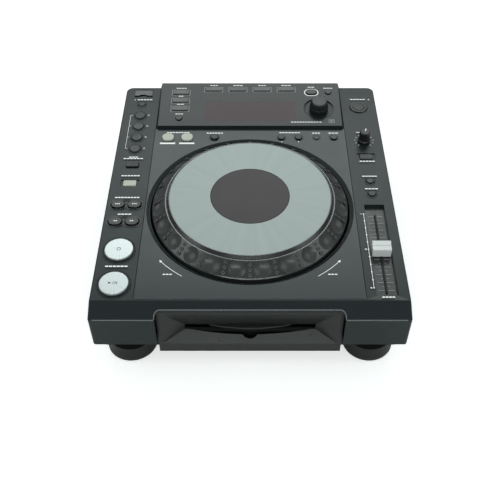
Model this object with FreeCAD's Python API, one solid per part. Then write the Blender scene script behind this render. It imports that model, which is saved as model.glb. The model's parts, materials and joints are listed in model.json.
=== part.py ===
import FreeCAD, Part

import os
from dataclasses import dataclass
from math import atan2, cos, degrees, pi, radians, sin, sqrt

# A tabletop player for DJs with a front disc slot: a large sloped jog dial, two columns of keys,
# a raised display at the back, a tempo slider, four big feet and a slot-loading drive inside.
# Millimetres. +X is the player's right, +Y its back, +Z up. The origin lies on the table under the
# middle of the bounding box. "From the front" means the distance behind the front face.

# Jog dial and the well that it turns in
DIAL_RADIUS = 103.0
DIAL_GAP = 3.0
WELL_RADIUS = DIAL_RADIUS + DIAL_GAP

# Plan of the case, added up from the well outwards
WELL_SIDE_MARGIN = 4.7
COLUMN_WIDTH = 41.8
NOSE_LENGTH = 18.5
NOSE_DROP = 8.0
DECK_SETBACK = 1.9
WELL_FRONT_MARGIN = 19.7
KEY_ROW_SETBACK = 5.9
DISPLAY_SETBACK = 17.0
FACE_LENGTH = 76.5
DISPLAY_BACK_RUN = 4.5
DISPLAY_BACK_LAND = 1.2
SOCKET_REACH = 9.0

# Heights
FOOT_HEIGHT = 20.0
BODY_HEIGHT = 68.0
SKIRT_HEIGHT = 45.0
DISPLAY_FRONT_RISE = 4.5
DISPLAY_REAR_RISE = 11.0

# Shells
COVER_WALL = 2.5
COVER_TOP = 3.0
DECK_POCKET = 1.5
DECK_PROUD = 0.8
WELL_BEVEL = 3.2
WELL_BEVEL_DROP = 1.9
SHEET = 1.2
BOARD = 1.6
CLEARANCE = 0.3
SEAT_GAP = 0.1
REAR_CORNER = 8.0
FRONT_CORNER = 3.0
EDGE_ROUND = 1.2

DECK_HALF = WELL_RADIUS + WELL_SIDE_MARGIN
HALF_WIDTH = DECK_HALF + COLUMN_WIDTH
JOG_FROM_FRONT = NOSE_LENGTH + DECK_SETBACK + WELL_FRONT_MARGIN + WELL_RADIUS
KEY_ROW_FROM_FRONT = JOG_FROM_FRONT + WELL_RADIUS + KEY_ROW_SETBACK
DISPLAY_FROM_FRONT = KEY_ROW_FROM_FRONT + DISPLAY_SETBACK
DISPLAY_TILT = atan2(DISPLAY_REAR_RISE - DISPLAY_FRONT_RISE, FACE_LENGTH)
FACE_RUN = FACE_LENGTH * cos(DISPLAY_TILT)
DISPLAY_BACK = DISPLAY_FROM_FRONT + FACE_RUN + DISPLAY_BACK_RUN
BODY_DEPTH = DISPLAY_BACK + DISPLAY_BACK_LAND
FRONT_Y = -(BODY_DEPTH + SOCKET_REACH) / 2
REAR_Y = FRONT_Y + BODY_DEPTH
FLOOR_Z = FOOT_HEIGHT
DECK_Z = FOOT_HEIGHT + BODY_HEIGHT
UNDER_Z = DECK_Z - COVER_TOP
SKIRT_Z = DECK_Z - SKIRT_HEIGHT
JOG_Y = FRONT_Y + JOG_FROM_FRONT
COLUMN_X = HALF_WIDTH - COLUMN_WIDTH / 2 - 0.6
DECK_TOP_Z = DECK_Z + DECK_PROUD
BIG = 500.0

# Keys: caps, retaining flanges, stems and switches
KEY_GAP = 0.35
KEY_TRAVEL = 0.6
BIG_KEY_TRAVEL = 1.0
FLANGE = 1.2
FLANGE_OVERHANG = 1.1
STEM_RADIUS = 1.5
BOARD_DROP = 9.5
SWITCH_SIDE = 6.0
SWITCH_BODY = 3.4
PLUNGER_RADIUS = 1.7
PLUNGER_RISE = 0.9
STEM_CLEARANCE = 0.12
LOW_CAP = 1.4
ROUND_KEY = 11.6
SMALL_KEY = 7.6
TINY_KEY = 6.2
BIG_KEY = 28.6
LOOP_PITCH = 20.3
PAIR_PITCH = 17.5
PAIR_WIDTH = 14.0
PAIR_LENGTH = 11.0
WINDOW_KEY_WIDTH = 14.0
WINDOW_KEY_LENGTH = 8.6
DISH_DEPTH = 1.0
DISH_MARGIN = 2.6
EJECT_COLLAR = 11.0

# Slot of the disc and the funnel-shaped bezel round it
BEZEL_FROM_SIDE = 62.5
BEZEL_HALF = HALF_WIDTH - BEZEL_FROM_SIDE
BEZEL_SETBACK = 7.0
HOOD_SETBACK = 9.2
BEZEL_CORNER = 5.0
BEZEL_FOOT_CLEARANCE = 2.0
BEZEL_WALL = 2.5
BEZEL_FRAME = 3.6
LIP_HEIGHT = 12.0
SLOT_DEPTH = 12.0
SLOT_DROP = 37.7
SLOT_HALF = 64.3
SLOT_HEIGHT = 7.6
SLOT_BULGE = 4.4
THUMB_RADIUS = 9.6
THUMB_REACH = 3.4
VISOR_HALF = 40.0
VISOR_BULGE = 4.6
VISOR_THICKNESS = 1.8

# Tempo slider
FADER_TRAVEL = 100.0
FADER_SLOT = 2.0
FADER_WELL_WIDTH = 21.0
FADER_WELL_DEPTH = 4.0
FADER_FRONT = 24.6
FADER_END_FRONT = 5.6
FADER_END_REAR = 12.4
FADER_BODY_WIDTH = 11.0
FADER_BODY_HEIGHT = 7.5
FADER_WALL = 1.0
CAP_WIDTH = 18.6
CAP_LENGTH = 12.0
CAP_HEIGHT = 12.0
LEVER = 1.2
LEVER_LENGTH = 5.0

# Rotary controls
SPEED_KNOB_RADIUS = 7.0
SPEED_KNOB_HEIGHT = 14.0
SELECTOR_RADIUS = 11.2
SELECTOR_TOP_RADIUS = 8.6
SELECTOR_HEIGHT = 11.6
SELECTOR_FLUTES = 12
SELECTOR_DISH = 18.0
SHAFT_RADIUS = 3.0
RUNNING = 0.06
SELECTOR_TRAVEL = 0.5
ROTARY_BODY = 12.0

# Drive that loads and plays the disc
DRIVE_HALF = 73.0
DRIVE_LENGTH = 150.0
DRIVE_LIFT = 5.0
DRIVE_HEIGHT = 36.0
SPINDLE_FROM_DRIVE = 68.0
ROLLER_RADIUS = 5.0
ROLLER_FROM_DRIVE = 12.0
ROD_RADIUS = 1.5
ROD_SPREAD = 18.5
MOTOR_RADIUS = 14.0
SLED_LENGTH = 20.0

# Feet
FOOT_RADIUS = 25.6
FOOT_TOP_RADIUS = 24.0
FOOT_FROM_SIDE = 31.2
FOOT_FROM_FRONT = 34.0
FOOT_FROM_BACK = 42.0
PAD_RADIUS = 19.0
PAD_HEIGHT = 2.5
PAD_PROUD = 1.2

# Flap over the socket for a memory stick
FLAP_WIDTH = 22.0
FLAP_LENGTH = 14.0
FLAP_THICKNESS = 1.3
FLAP_LIFT = 0.1
FLAP_PIN = 0.7
FLAP_BARREL = 1.4
FLAP_AXIS_DROP = 1.0
FLAP_SWEEP = 2.8
FLAP_HEEL = 1.8
FLAP_FROM_REAR = 4.6
FLAP_FROM_SIDE = 10.8
STICK_WELL = 9.5
STICK_SOCKET_WIDTH = 13.2
STICK_SOCKET_LENGTH = 5.8

# Case prism
FACE_THICKNESS = 1.2
HOUSING_TOP = 2.0
FACE_UNDER = -FACE_THICKNESS - HOUSING_TOP
FACE_BOARD = FACE_UNDER - BOARD_DROP
HOUSING_HALF = DECK_HALF
HOUSING_DRAFT = 2.8
HOUSING_WALL = 2.4
TUBE_HALF = 54.0
TUBE_FROM = 8.5
TUBE_TO = FACE_LENGTH - 23.0
SELECTOR_X = HOUSING_HALF - 28.9
SELECTOR_UP = 30.0
SPEED_X = COLUMN_X
SPEED_Y = REAR_Y - 104.6
FADER_X = COLUMN_X + 0.2
WELL_Y0 = FRONT_Y + FADER_FRONT
RAIL_Y0 = WELL_Y0 + FADER_END_FRONT
RAIL_LENGTH = FADER_TRAVEL + LEVER_LENGTH + 2 * CLEARANCE
RAIL_Y1 = RAIL_Y0 + RAIL_LENGTH
WELL_Y1 = RAIL_Y1 + FADER_END_REAR
FADER_Y = (RAIL_Y0 + RAIL_Y1) / 2
FADER_FLOOR_Z = DECK_Z - FADER_WELL_DEPTH
FADER_FLOOR = 1.6
FADER_BODY_TOP = FADER_FLOOR_Z - FADER_FLOOR
FLAP_X0 = -HALF_WIDTH + FLAP_FROM_SIDE
FLAP_Y1 = REAR_Y - FLAP_FROM_REAR
FLAP_Y0 = FLAP_Y1 - FLAP_LENGTH
FLAP_AXIS_Y = FLAP_Y1 - FLAP_SWEEP
FLAP_AXIS_Z = DECK_Z - FLAP_AXIS_DROP
FLAP_LEDGE = 1.0
PORT_X0 = FLAP_X0 + FLAP_LEDGE
PORT_X1 = FLAP_X0 + FLAP_WIDTH - FLAP_LEDGE
PORT_Y0 = FLAP_Y0 + FLAP_LEDGE
PORT_Y1 = FLAP_AXIS_Y - FLAP_BARREL - 0.8
STICK_X = FLAP_X0 + FLAP_WIDTH / 2
STICK_Y = FLAP_Y0 + 5.2
STICK_FLOOR_Z = DECK_Z - STICK_WELL

# Board posts
POST_RADIUS = 3.4
PILOT_RADIUS = 1.3
SCREW_RADIUS = 1.25

# Key collars
REAR_WINDOW_HALF = HALF_WIDTH - 39.5
REAR_WINDOW_TOP = DECK_Z - 9.0
ROTARY_NOSE = 4.5

# Bow
BEZEL_TOP_Z = DECK_Z - COVER_TOP - NOSE_DROP * (1 - HOOD_SETBACK / NOSE_LENGTH) - 0.1
BEZEL_BOTTOM_Z = FLOOR_Z + BEZEL_FOOT_CLEARANCE
BEZEL_OUTER = BEZEL_HALF - CLEARANCE
SLOT_PLANE = BEZEL_SETBACK + SLOT_DEPTH
SLOT_HIGH_Z = DECK_Z - SLOT_DROP
SLOT_LOW_Z = SLOT_HIGH_Z - SLOT_HEIGHT
BEZEL_BACK = SLOT_PLANE + BEZEL_WALL

# Foot places
CHASSIS_HALF = HALF_WIDTH - 6.5
CHASSIS_FRONT = 16.0
CHASSIS_REAR_GAP = 1.5

# Corners of
STANDOFF = 6.0

# Edge angle
DRIVE_Y0 = FRONT_Y + BEZEL_BACK + 2.5
DRIVE_Z = FLOOR_Z + SHEET + DRIVE_LIFT
SPINDLE_Y = DRIVE_Y0 + SPINDLE_FROM_DRIVE
JOG_CUP_RADIUS = WELL_RADIUS + 1.2

# Floor vents
REAR_WALL_HALF = REAR_WINDOW_HALF + 3.0
REAR_WALL_TOP = REAR_WINDOW_TOP + 3.0
FOOT_SCREW = 2.0
FOOT_HEAD = 4.0

# Rear socket list
FIT = 0.1
REAR_INSET = COVER_WALL + CHASSIS_REAR_GAP
REAR_WALL_Y = REAR_Y - REAR_INSET
MAINS_WIDTH = 27.0
MAINS_HEIGHT = 19.0
DATA_WIDTH = 12.0
DATA_HEIGHT = 10.8
PHONO_RADIUS = 4.15
PHONO_COLLAR = 5.6
PHONO_BORE = 1.65
JACK_BORE = 1.8
SOCKET_Z = SKIRT_Z + 14.0
MAINS_X = REAR_WINDOW_HALF - 19.0
POWER_KEY_X = MAINS_X - 32.0
AUDIO_X = -REAR_WINDOW_HALF + 10.0
POWER_KEY_WIDTH = 12.0
POWER_KEY_HEIGHT = 8.0

# Selector shaft
SELECTOR_BASE = 0.6
SELECTOR_SOCKET = 7.0

# Jog dial
DIAL_RISE = 12.6
DIAL_EDGE_RISE = 1.9
PLATE_RADIUS = DIAL_RADIUS - 18.8
PLATE_FLANK = 3.0
PLATE_RISE = 15.6
PLATE_THICKNESS = 1.6
LENS_RADIUS = 41.2
DIMPLES = 24
DIMPLE_RADIUS = 8.6
DIMPLE_DEPTH = 2.2
HUB_BORE = 10.0
HUB_WALL = 3.0
CUP_FLOOR = 2.5
CUP_FLOOR_Z = DECK_Z - 21.0
WEB = 2.4

# Jog base
DISPLAY_DISC_RADIUS = 38.0
DISPLAY_DISC_Z = DECK_Z + 4.0
POST_TOP_Z = DISPLAY_DISC_Z

# Drive chassis
ROD_Z = DRIVE_Z + 9.0
SLED_HEIGHT = 8.0
TURNTABLE_RADIUS = 15.0
HUB_HEIGHT = 3.8
HUB_TOP_Z = SLOT_LOW_Z - 0.2
TURNTABLE_Z = HUB_TOP_Z - HUB_HEIGHT
MOTOR_TOP_Z = TURNTABLE_Z - 1.0
ROLLER_Z = SLOT_LOW_Z - ROLLER_RADIUS - 0.1
SPINDLE_SHAFT = 1.5


def block(x0, x1, y0, y1, z0, z1):
    """A box between two corners."""
    return Part.makeBox(x1 - x0, y1 - y0, z1 - z0, FreeCAD.Vector(x0, y0, z0))


def drum(x, y, z0, z1, radius):
    """An upright cylinder."""
    return Part.makeCylinder(radius, z1 - z0, FreeCAD.Vector(x, y, z0))


def rod(x0, x1, y, z, radius):
    """A cylinder that lies along X."""
    return Part.makeCylinder(radius, x1 - x0, FreeCAD.Vector(x0, y, z), FreeCAD.Vector(1, 0, 0))


def peg(y0, y1, x, z, radius):
    """A cylinder that lies along Y."""
    return Part.makeCylinder(radius, y1 - y0, FreeCAD.Vector(x, y0, z), FreeCAD.Vector(0, 1, 0))


def slab(x, y, z0, z1, width, length, corner):
    """An upright prism with a rounded rectangle for its plan, centred on x, y."""
    radius = min(corner, width / 2, length / 2)
    if radius > 0.4999 * width and radius > 0.4999 * length:
        return drum(x, y, z0, z1, radius)
    body = block(x - width / 2, x + width / 2, y - length / 2, y + length / 2, z0, z1)
    if radius <= 0:
        return body
    if radius > 0.4999 * min(width, length):
        if width >= length:
            core = block(x - width / 2 + radius, x + width / 2 - radius, y - radius, y + radius, z0, z1)
            ends = [(x - width / 2 + radius, y), (x + width / 2 - radius, y)]
        else:
            core = block(x - radius, x + radius, y - length / 2 + radius, y + length / 2 - radius, z0, z1)
            ends = [(x, y - length / 2 + radius), (x, y + length / 2 - radius)]
        return core.fuse([drum(ex, ey, z0, z1, radius) for ex, ey in ends]).removeSplitter()
    upright = [e for e in body.Edges if abs(e.tangentAt(e.FirstParameter).z) > 0.99]
    return body.makeFillet(radius, upright)


def extruded_x(profile, x0, x1):
    """A prism along X with a (y, z) profile."""
    corners = [FreeCAD.Vector(x0, y, z) for y, z in profile]
    face = Part.Face(Part.makePolygon(corners + corners[:1]))
    return face.extrude(FreeCAD.Vector(x1 - x0, 0, 0))


def turned(profile, x, y):
    """A solid of revolution about the upright axis through x, y, from (radius, z) points."""
    corners = [FreeCAD.Vector(x + r, y, z) for r, z in profile]
    face = Part.Face(Part.makePolygon(corners + corners[:1]))
    return face.revolve(FreeCAD.Vector(x, y, 0), FreeCAD.Vector(0, 0, 1), 360)


def edges_at(shape, z):
    """The edges of a shape that lie flat at height z."""
    return [e for e in shape.Edges if all(abs(v.Point.z - z) < 1e-4 for v in e.Vertexes)
            and abs(e.CenterOfMass.z - z) < 1e-4]


def softened(shape, z, radius):
    """The shape with its flat rim at height z rounded over."""
    return shape.makeFillet(radius, edges_at(shape, z))


def cut(shape, tools):
    """The shape less every tool, in one operation."""
    return shape.cut(list(tools)) if tools else shape


def tilted(shape):
    """Places a shape, drawn flat at the display's front edge, on the tilted face."""
    moved = shape.copy()
    moved.rotate(FreeCAD.Vector(0, 0, 0), FreeCAD.Vector(1, 0, 0), degrees(DISPLAY_TILT))
    moved.translate(FreeCAD.Vector(0, FRONT_Y + DISPLAY_FROM_FRONT, DECK_Z + DISPLAY_FRONT_RISE))
    return moved


def on_face(up, lift):
    """The y and z of a point up the display's face and lifted off it."""
    y = FRONT_Y + DISPLAY_FROM_FRONT + up * cos(DISPLAY_TILT) - lift * sin(DISPLAY_TILT)
    z = DECK_Z + DISPLAY_FRONT_RISE + up * sin(DISPLAY_TILT) + lift * cos(DISPLAY_TILT)
    return y, z


@dataclass
class Key:
    """A push key: a cap through a panel, a flange that holds it in, and a stem over its switch.

    x, y   centre on its panel; on the display, y is measured up the face
    width, length, corner   plan of the cap
    rise   height of the cap over the panel's surface
    """

    name: str
    x: float
    y: float
    width: float
    length: float
    corner: float
    rise: float
    travel: float = KEY_TRAVEL
    crown: float = 0.5

    def plan(self, z0, z1, grow=0.0):
        """A prism of the cap's plan, grown by a margin."""
        return slab(self.x, self.y, z0, z1, self.width + 2 * grow, self.length + 2 * grow,
                    self.corner + grow)

    def solid(self, surface, under):
        """The whole moulded key for a panel between two heights."""
        top = surface + self.rise
        flange_top = under - SEAT_GAP
        cap = softened(self.plan(flange_top, top), top, self.crown)
        flange = self.plan(flange_top - FLANGE, flange_top, FLANGE_OVERHANG)
        stem_end = under - BOARD_DROP + SWITCH_BODY + PLUNGER_RISE + self.travel + STEM_CLEARANCE
        stem = drum(self.x, self.y, stem_end, flange_top - FLANGE, STEM_RADIUS)
        return cap.fuse([flange, stem]).removeSplitter()

    def hole(self, z0, z1):
        """The opening that a panel has for the cap."""
        return self.plan(z0, z1, KEY_GAP)

    def switch(self, under):
        """The switch body and its plunger on the board under the key."""
        base = under - BOARD_DROP
        half = SWITCH_SIDE / 2
        body = block(self.x - half, self.x + half, self.y - half, self.y + half, base, base + SWITCH_BODY)
        return body.fuse(drum(self.x, self.y, base + SWITCH_BODY, base + SWITCH_BODY + PLUNGER_RISE,
                              PLUNGER_RADIUS)).removeSplitter()


def round_key(name, x, y, diameter, rise=LOW_CAP, travel=KEY_TRAVEL, crown=0.5):
    """A round push key."""
    return Key(name, x, y, diameter, diameter, diameter / 2, rise, travel, crown)


def left_keys():
    """The keys of the left column: the front group is placed from the front, the rear one from the back."""
    x = -COLUMN_X
    rear = REAR_Y
    keys = [
        round_key("play_button", x, FRONT_Y + 38.2, BIG_KEY, 2.6, BIG_KEY_TRAVEL, 0.7),
        round_key("cue_button", x, FRONT_Y + 82.4, BIG_KEY, 2.6, BIG_KEY_TRAVEL, 0.7),
    ]
    for name, from_front in (("search", 122.2), ("track", 147.4)):
        for side, end in ((-1, "back"), (1, "forward")):
            keys.append(Key(f"{name}_{end}_button", x + side * PAIR_PITCH / 2, FRONT_Y + from_front,
                            PAIR_WIDTH, PAIR_LENGTH, PAIR_LENGTH / 2, 2.2))
    keys.append(Key("direction_button", x, rear - 175.0, WINDOW_KEY_WIDTH, WINDOW_KEY_LENGTH, 0.8,
                    LOW_CAP - DISH_DEPTH))
    keys.append(Key("beat_select_button", x, rear - 145.3, 14.0, 8.6, 1.6, 1.8))
    for number in range(4):
        keys.append(round_key(f"beat_loop_button_{4 - number}", x, rear - 118.4 + number * LOOP_PITCH,
                              ROUND_KEY))
    keys.append(round_key("usb_stop_button", x, rear - 34.8, SMALL_KEY, 0.9))
    return keys


def right_keys():
    """The keys of the right column."""
    x = COLUMN_X
    return [
        round_key("master_tempo_button", x, FRONT_Y + 164.4, SMALL_KEY),
        round_key("tempo_range_button", x, FRONT_Y + 184.5, SMALL_KEY),
        Key("jog_mode_button", x, REAR_Y - 131.0, WINDOW_KEY_WIDTH, WINDOW_KEY_LENGTH, 0.8,
            LOW_CAP - DISH_DEPTH),
        round_key("eject_button", x, REAR_Y - 40.8, 13.6, 1.6),
    ]


def row_keys():
    """The row of keys between the dial and the display, on the deck panel."""
    y = FRONT_Y + KEY_ROW_FROM_FRONT
    left = -DECK_HALF
    right = DECK_HALF
    return [
        Key("loop_in_button", left + 16.1, y, 13.2, 12.2, 5.2, 2.0),
        Key("loop_out_button", left + 38.1, y, 13.2, 12.2, 5.2, 2.0),
        round_key("reloop_button", left + 69.7, y, 9.0, 2.0, crown=1.2),
        round_key("call_back_button", right - 74.5, y, SMALL_KEY, 1.6),
        round_key("call_forward_button", right - 54.5, y, SMALL_KEY, 1.6),
        round_key("delete_button", right - 33.9, y, TINY_KEY, 0.9),
        round_key("memory_button", right - 13.9, y, SMALL_KEY, 1.6),
    ]


def face_keys():
    """The keys on the display's tilted face; y runs up the face from its front edge."""
    keys = [Key(f"menu_button_{n + 1}", (n - 1.5) * 29.4, FACE_LENGTH - 12.0, 20.4, 7.4, 0.6, 1.2)
            for n in range(4)]
    keys += [Key(f"source_button_{n + 1}", 27.3 - HOUSING_HALF, FACE_LENGTH - 17.5 - n * 14.4, 19.8, 8.0,
                 0.6, 1.2)
             for n in range(3)]
    keys.append(round_key("time_mode_button", 26.9 - HOUSING_HALF, 13.2, SMALL_KEY, 1.2))
    keys.append(Key("back_button", HOUSING_HALF - 36.3, FACE_LENGTH - 17.4, 13.4, 8.6, 4.3, 1.4))
    keys.append(round_key("tag_track_button", HOUSING_HALF - 15.9, FACE_LENGTH - 17.4, SMALL_KEY, 1.2))
    return keys


def case_prism(inset, under, top_drop, corner_rear, corner_front):
    """The case's outer or inner form: the side profile with the sloped nose, drawn across the width."""
    front = FRONT_Y + inset
    rear = REAR_Y - inset
    top = DECK_Z - top_drop
    fold = FRONT_Y + NOSE_LENGTH
    profile = [(front, under), (front, DECK_Z - NOSE_DROP * (1 - inset / NOSE_LENGTH) - top_drop),
               (fold, top), (rear, top), (rear, under)]
    body = extruded_x(profile, -HALF_WIDTH + inset, HALF_WIDTH - inset)
    upright = [e for e in body.Edges if abs(e.tangentAt(e.FirstParameter).z) > 0.99]
    rear_edges = [e for e in upright if e.CenterOfMass.y > 0]
    front_edges = [e for e in upright if e.CenterOfMass.y < 0]
    body = body.makeFillet(corner_rear, rear_edges)
    front_edges = [e for e in body.Edges if abs(e.tangentAt(e.FirstParameter).z) > 0.99
                   and e.CenterOfMass.y < front + 1e-3]
    return body.makeFillet(corner_front, front_edges)


def pair_dishes():
    """The shallow stadium-shaped dishes round the two pairs of search keys."""
    width = PAIR_PITCH + PAIR_WIDTH + 2 * DISH_MARGIN - 2.4
    length = PAIR_LENGTH + 2 * DISH_MARGIN - 2.0
    return [slab(-COLUMN_X, FRONT_Y + d, DECK_Z - DISH_DEPTH, DECK_Z + 1, width, length, length / 2)
            for d in (122.2, 147.4)]


def window_dishes():
    """The rectangular recesses round the two lit keys."""
    lit = [k for k in left_keys() + right_keys() if k.name in ("direction_button", "jog_mode_button")]
    return [slab(k.x, k.y, DECK_Z - DISH_DEPTH, DECK_Z + 1, k.width + 6.4, k.length + 2.6, 1.0) for k in lit]


def post_places():
    """Where the cover's long posts stand: two at the front corners, two at the back of the display."""
    front = (BEZEL_HALF + 5.0, FRONT_Y + 22.0)
    back = (HALF_WIDTH - FLAP_FROM_SIDE - FLAP_WIDTH - 7.5, REAR_Y - 9.6)
    return [(side * x, y) for x, y in (front, back) for side in (-1, 1)]


def board_posts():
    """Short posts that carry the key boards, as (x, y) places."""
    left = [(-COLUMN_X + dx, FRONT_Y + d) for dx, d in ((10.5, 60.5), (-9.5, 104.0), (10.5, 165.0))]
    left += [(-COLUMN_X + 10.0, REAR_Y - 132.0), (-COLUMN_X + 10.0, REAR_Y - 46.0)]
    right = [(COLUMN_X - 9.5, FRONT_Y + 174.5), (COLUMN_X + 9.5, FRONT_Y + 198.0),
             (COLUMN_X - 11.0, REAR_Y - 118.0), (COLUMN_X - 11.5, REAR_Y - 58.0)]
    y = FRONT_Y + KEY_ROW_FROM_FRONT
    row = [(x, y + 5.0) for x in (-57.0, 0.0, 86.8)]
    return left + right + row


def make_top_cover():
    """The upper case shell with its nose, wells, key openings, posts and rear window."""
    outer = case_prism(0, SKIRT_Z, 0, REAR_CORNER, FRONT_CORNER)
    rim = [e for e in outer.Edges if e.BoundBox.ZMax - e.BoundBox.ZMin < 1e-3]
    nose_z = DECK_Z - NOSE_DROP
    outer = outer.makeFillet(EDGE_ROUND, [e for e in rim if e.CenterOfMass.z > DECK_Z - 1e-3
                                          and e.CenterOfMass.y > FRONT_Y + NOSE_LENGTH + 1e-3])
    outer = outer.makeFillet(EDGE_ROUND, [e for e in outer.Edges if abs(e.CenterOfMass.x) < 1e-3
                                          and abs(e.CenterOfMass.z - nose_z) < 1e-3])
    inner = case_prism(COVER_WALL, SKIRT_Z - 1, COVER_TOP, REAR_CORNER - COVER_WALL, 0.8)
    shell = outer.cut(inner)
    fader_box = block(FADER_X - FADER_WELL_WIDTH / 2 - 1.5, FADER_X + FADER_WELL_WIDTH / 2 + 1.5,
                      WELL_Y0 - 1.5, WELL_Y1 + 1.5, FADER_BODY_TOP, UNDER_Z + 0.5)
    stick_box = block(FLAP_X0 - 1.8, FLAP_X0 + FLAP_WIDTH + 1.8, FLAP_Y0 - 1.8, FLAP_Y1 + 1.8,
                      STICK_FLOOR_Z - 1.6, UNDER_Z + 0.5)
    posts = [drum(x, y, FLOOR_Z + SHEET, UNDER_Z + 0.5, POST_RADIUS) for x, y in post_places()]
    posts += [drum(x, y, UNDER_Z - BOARD_DROP, UNDER_Z + 0.5, 2.2) for x, y in board_posts()]
    shell = shell.fuse([fader_box, stick_box] + posts + key_collars())
    keys = left_keys() + right_keys() + row_keys()
    tools = [k.hole(UNDER_Z - 3, DECK_Z + 2) for k in keys]
    tools += pair_dishes() + window_dishes()
    tools.append(block(-DECK_HALF - CLEARANCE, DECK_HALF + CLEARANCE,
                       FRONT_Y + NOSE_LENGTH + DECK_SETBACK, FRONT_Y + DISPLAY_FROM_FRONT,
                       DECK_Z - DECK_POCKET, DECK_Z + 1))
    tools.append(drum(0, JOG_Y, UNDER_Z - 1, DECK_Z + 1, WELL_RADIUS + 2.0))
    tools.append(block(-HOUSING_HALF + 8, HOUSING_HALF - 8, FRONT_Y + DISPLAY_FROM_FRONT + 5,
                       FRONT_Y + DISPLAY_BACK - 8.5, UNDER_Z - 1, DECK_Z + 1))
    tools.append(slab(FADER_X, (WELL_Y0 + WELL_Y1) / 2, FADER_FLOOR_Z, DECK_Z + 1, FADER_WELL_WIDTH,
                      WELL_Y1 - WELL_Y0, 1.0))
    tools.append(block(FADER_X - FADER_SLOT / 2, FADER_X + FADER_SLOT / 2, RAIL_Y0, RAIL_Y1,
                       FADER_BODY_TOP - 1, DECK_Z))
    tools.append(block(PORT_X0, PORT_X1, FLAP_AXIS_Y - FLAP_BARREL - CLEARANCE, FLAP_Y1,
                       FLAP_AXIS_Z - FLAP_BARREL - CLEARANCE, DECK_Z + 1))
    tools.append(block(PORT_X0, PORT_X1, PORT_Y0, PORT_Y1, STICK_FLOOR_Z, DECK_Z + 1))
    tools.append(rod(PORT_X0 - 1.6, PORT_X1 + 1.6, FLAP_AXIS_Y, FLAP_AXIS_Z, FLAP_PIN + RUNNING))
    tools.append(block(STICK_X - STICK_SOCKET_WIDTH / 2, STICK_X + STICK_SOCKET_WIDTH / 2,
                       STICK_Y - STICK_SOCKET_LENGTH / 2, STICK_Y + STICK_SOCKET_LENGTH / 2,
                       STICK_FLOOR_Z - 3, STICK_FLOOR_Z + 1))
    tools.append(drum(SPEED_X, SPEED_Y, UNDER_Z - 1, DECK_Z + 1, ROTARY_NOSE + CLEARANCE))
    tools += [drum(x, y, FLOOR_Z, FLOOR_Z + 16, PILOT_RADIUS) for x, y in post_places()]
    tools.append(nose_cut())
    tools.append(block(-REAR_WINDOW_HALF, REAR_WINDOW_HALF, REAR_Y - COVER_WALL - 1, REAR_Y + 1,
                       SKIRT_Z - 1, REAR_WINDOW_TOP))
    return cut(shell, tools).removeSplitter()


def key_collars():
    """The raised collars round the cue, play and eject keys."""
    collars = []
    for key in left_keys() + right_keys():
        if key.name in ("play_button", "cue_button"):
            collars.append(drum(key.x, key.y, DECK_Z - 0.5, DECK_Z + 0.6, key.width / 2 + 1.2))
        if key.name == "eject_button":
            cone = turned([(0, DECK_Z - 0.5), (EJECT_COLLAR, DECK_Z - 0.5), (EJECT_COLLAR, DECK_Z + 0.4),
                           (EJECT_COLLAR - 1.0, DECK_Z + 1.3), (0, DECK_Z + 1.3)], key.x, key.y)
            collars.append(cone)
    return collars


def nose_cut():
    """The space that the slot bezel takes out of the front wall and the edge of the nose."""
    front = slab(0, FRONT_Y, SKIRT_Z - 1, DECK_Z + 1, 2 * BEZEL_HALF, 2 * HOOD_SETBACK, BEZEL_CORNER)
    behind = block(-BEZEL_HALF, BEZEL_HALF, FRONT_Y - 1, FRONT_Y + BEZEL_SETBACK + SLOT_DEPTH + 3,
                   SKIRT_Z - 1, BEZEL_TOP_Z + 0.1)
    return front.fuse(behind)


def make_deck_panel():
    """The separate plate round the dial, raised a little over the case, with the key row."""
    y0 = FRONT_Y + NOSE_LENGTH + DECK_SETBACK + 0.1
    y1 = FRONT_Y + DISPLAY_FROM_FRONT - 0.1
    plate = block(-DECK_HALF, DECK_HALF, y0, y1, DECK_Z - DECK_POCKET, DECK_TOP_Z)
    plate = plate.makeChamfer(0.5, [e for e in edges_at(plate, DECK_TOP_Z) if e.CenterOfMass.y < y1 - 1])
    tools = [k.hole(DECK_Z - 3, DECK_TOP_Z + 1) for k in row_keys()]
    bevel = WELL_RADIUS + WELL_BEVEL
    well = turned([(0, DECK_Z - 4), (WELL_RADIUS, DECK_Z - 4), (WELL_RADIUS, DECK_TOP_Z - WELL_BEVEL_DROP),
                   (bevel, DECK_TOP_Z), (bevel, DECK_TOP_Z + 1), (0, DECK_TOP_Z + 1)], 0, JOG_Y)
    return cut(plate, tools + [well])


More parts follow.
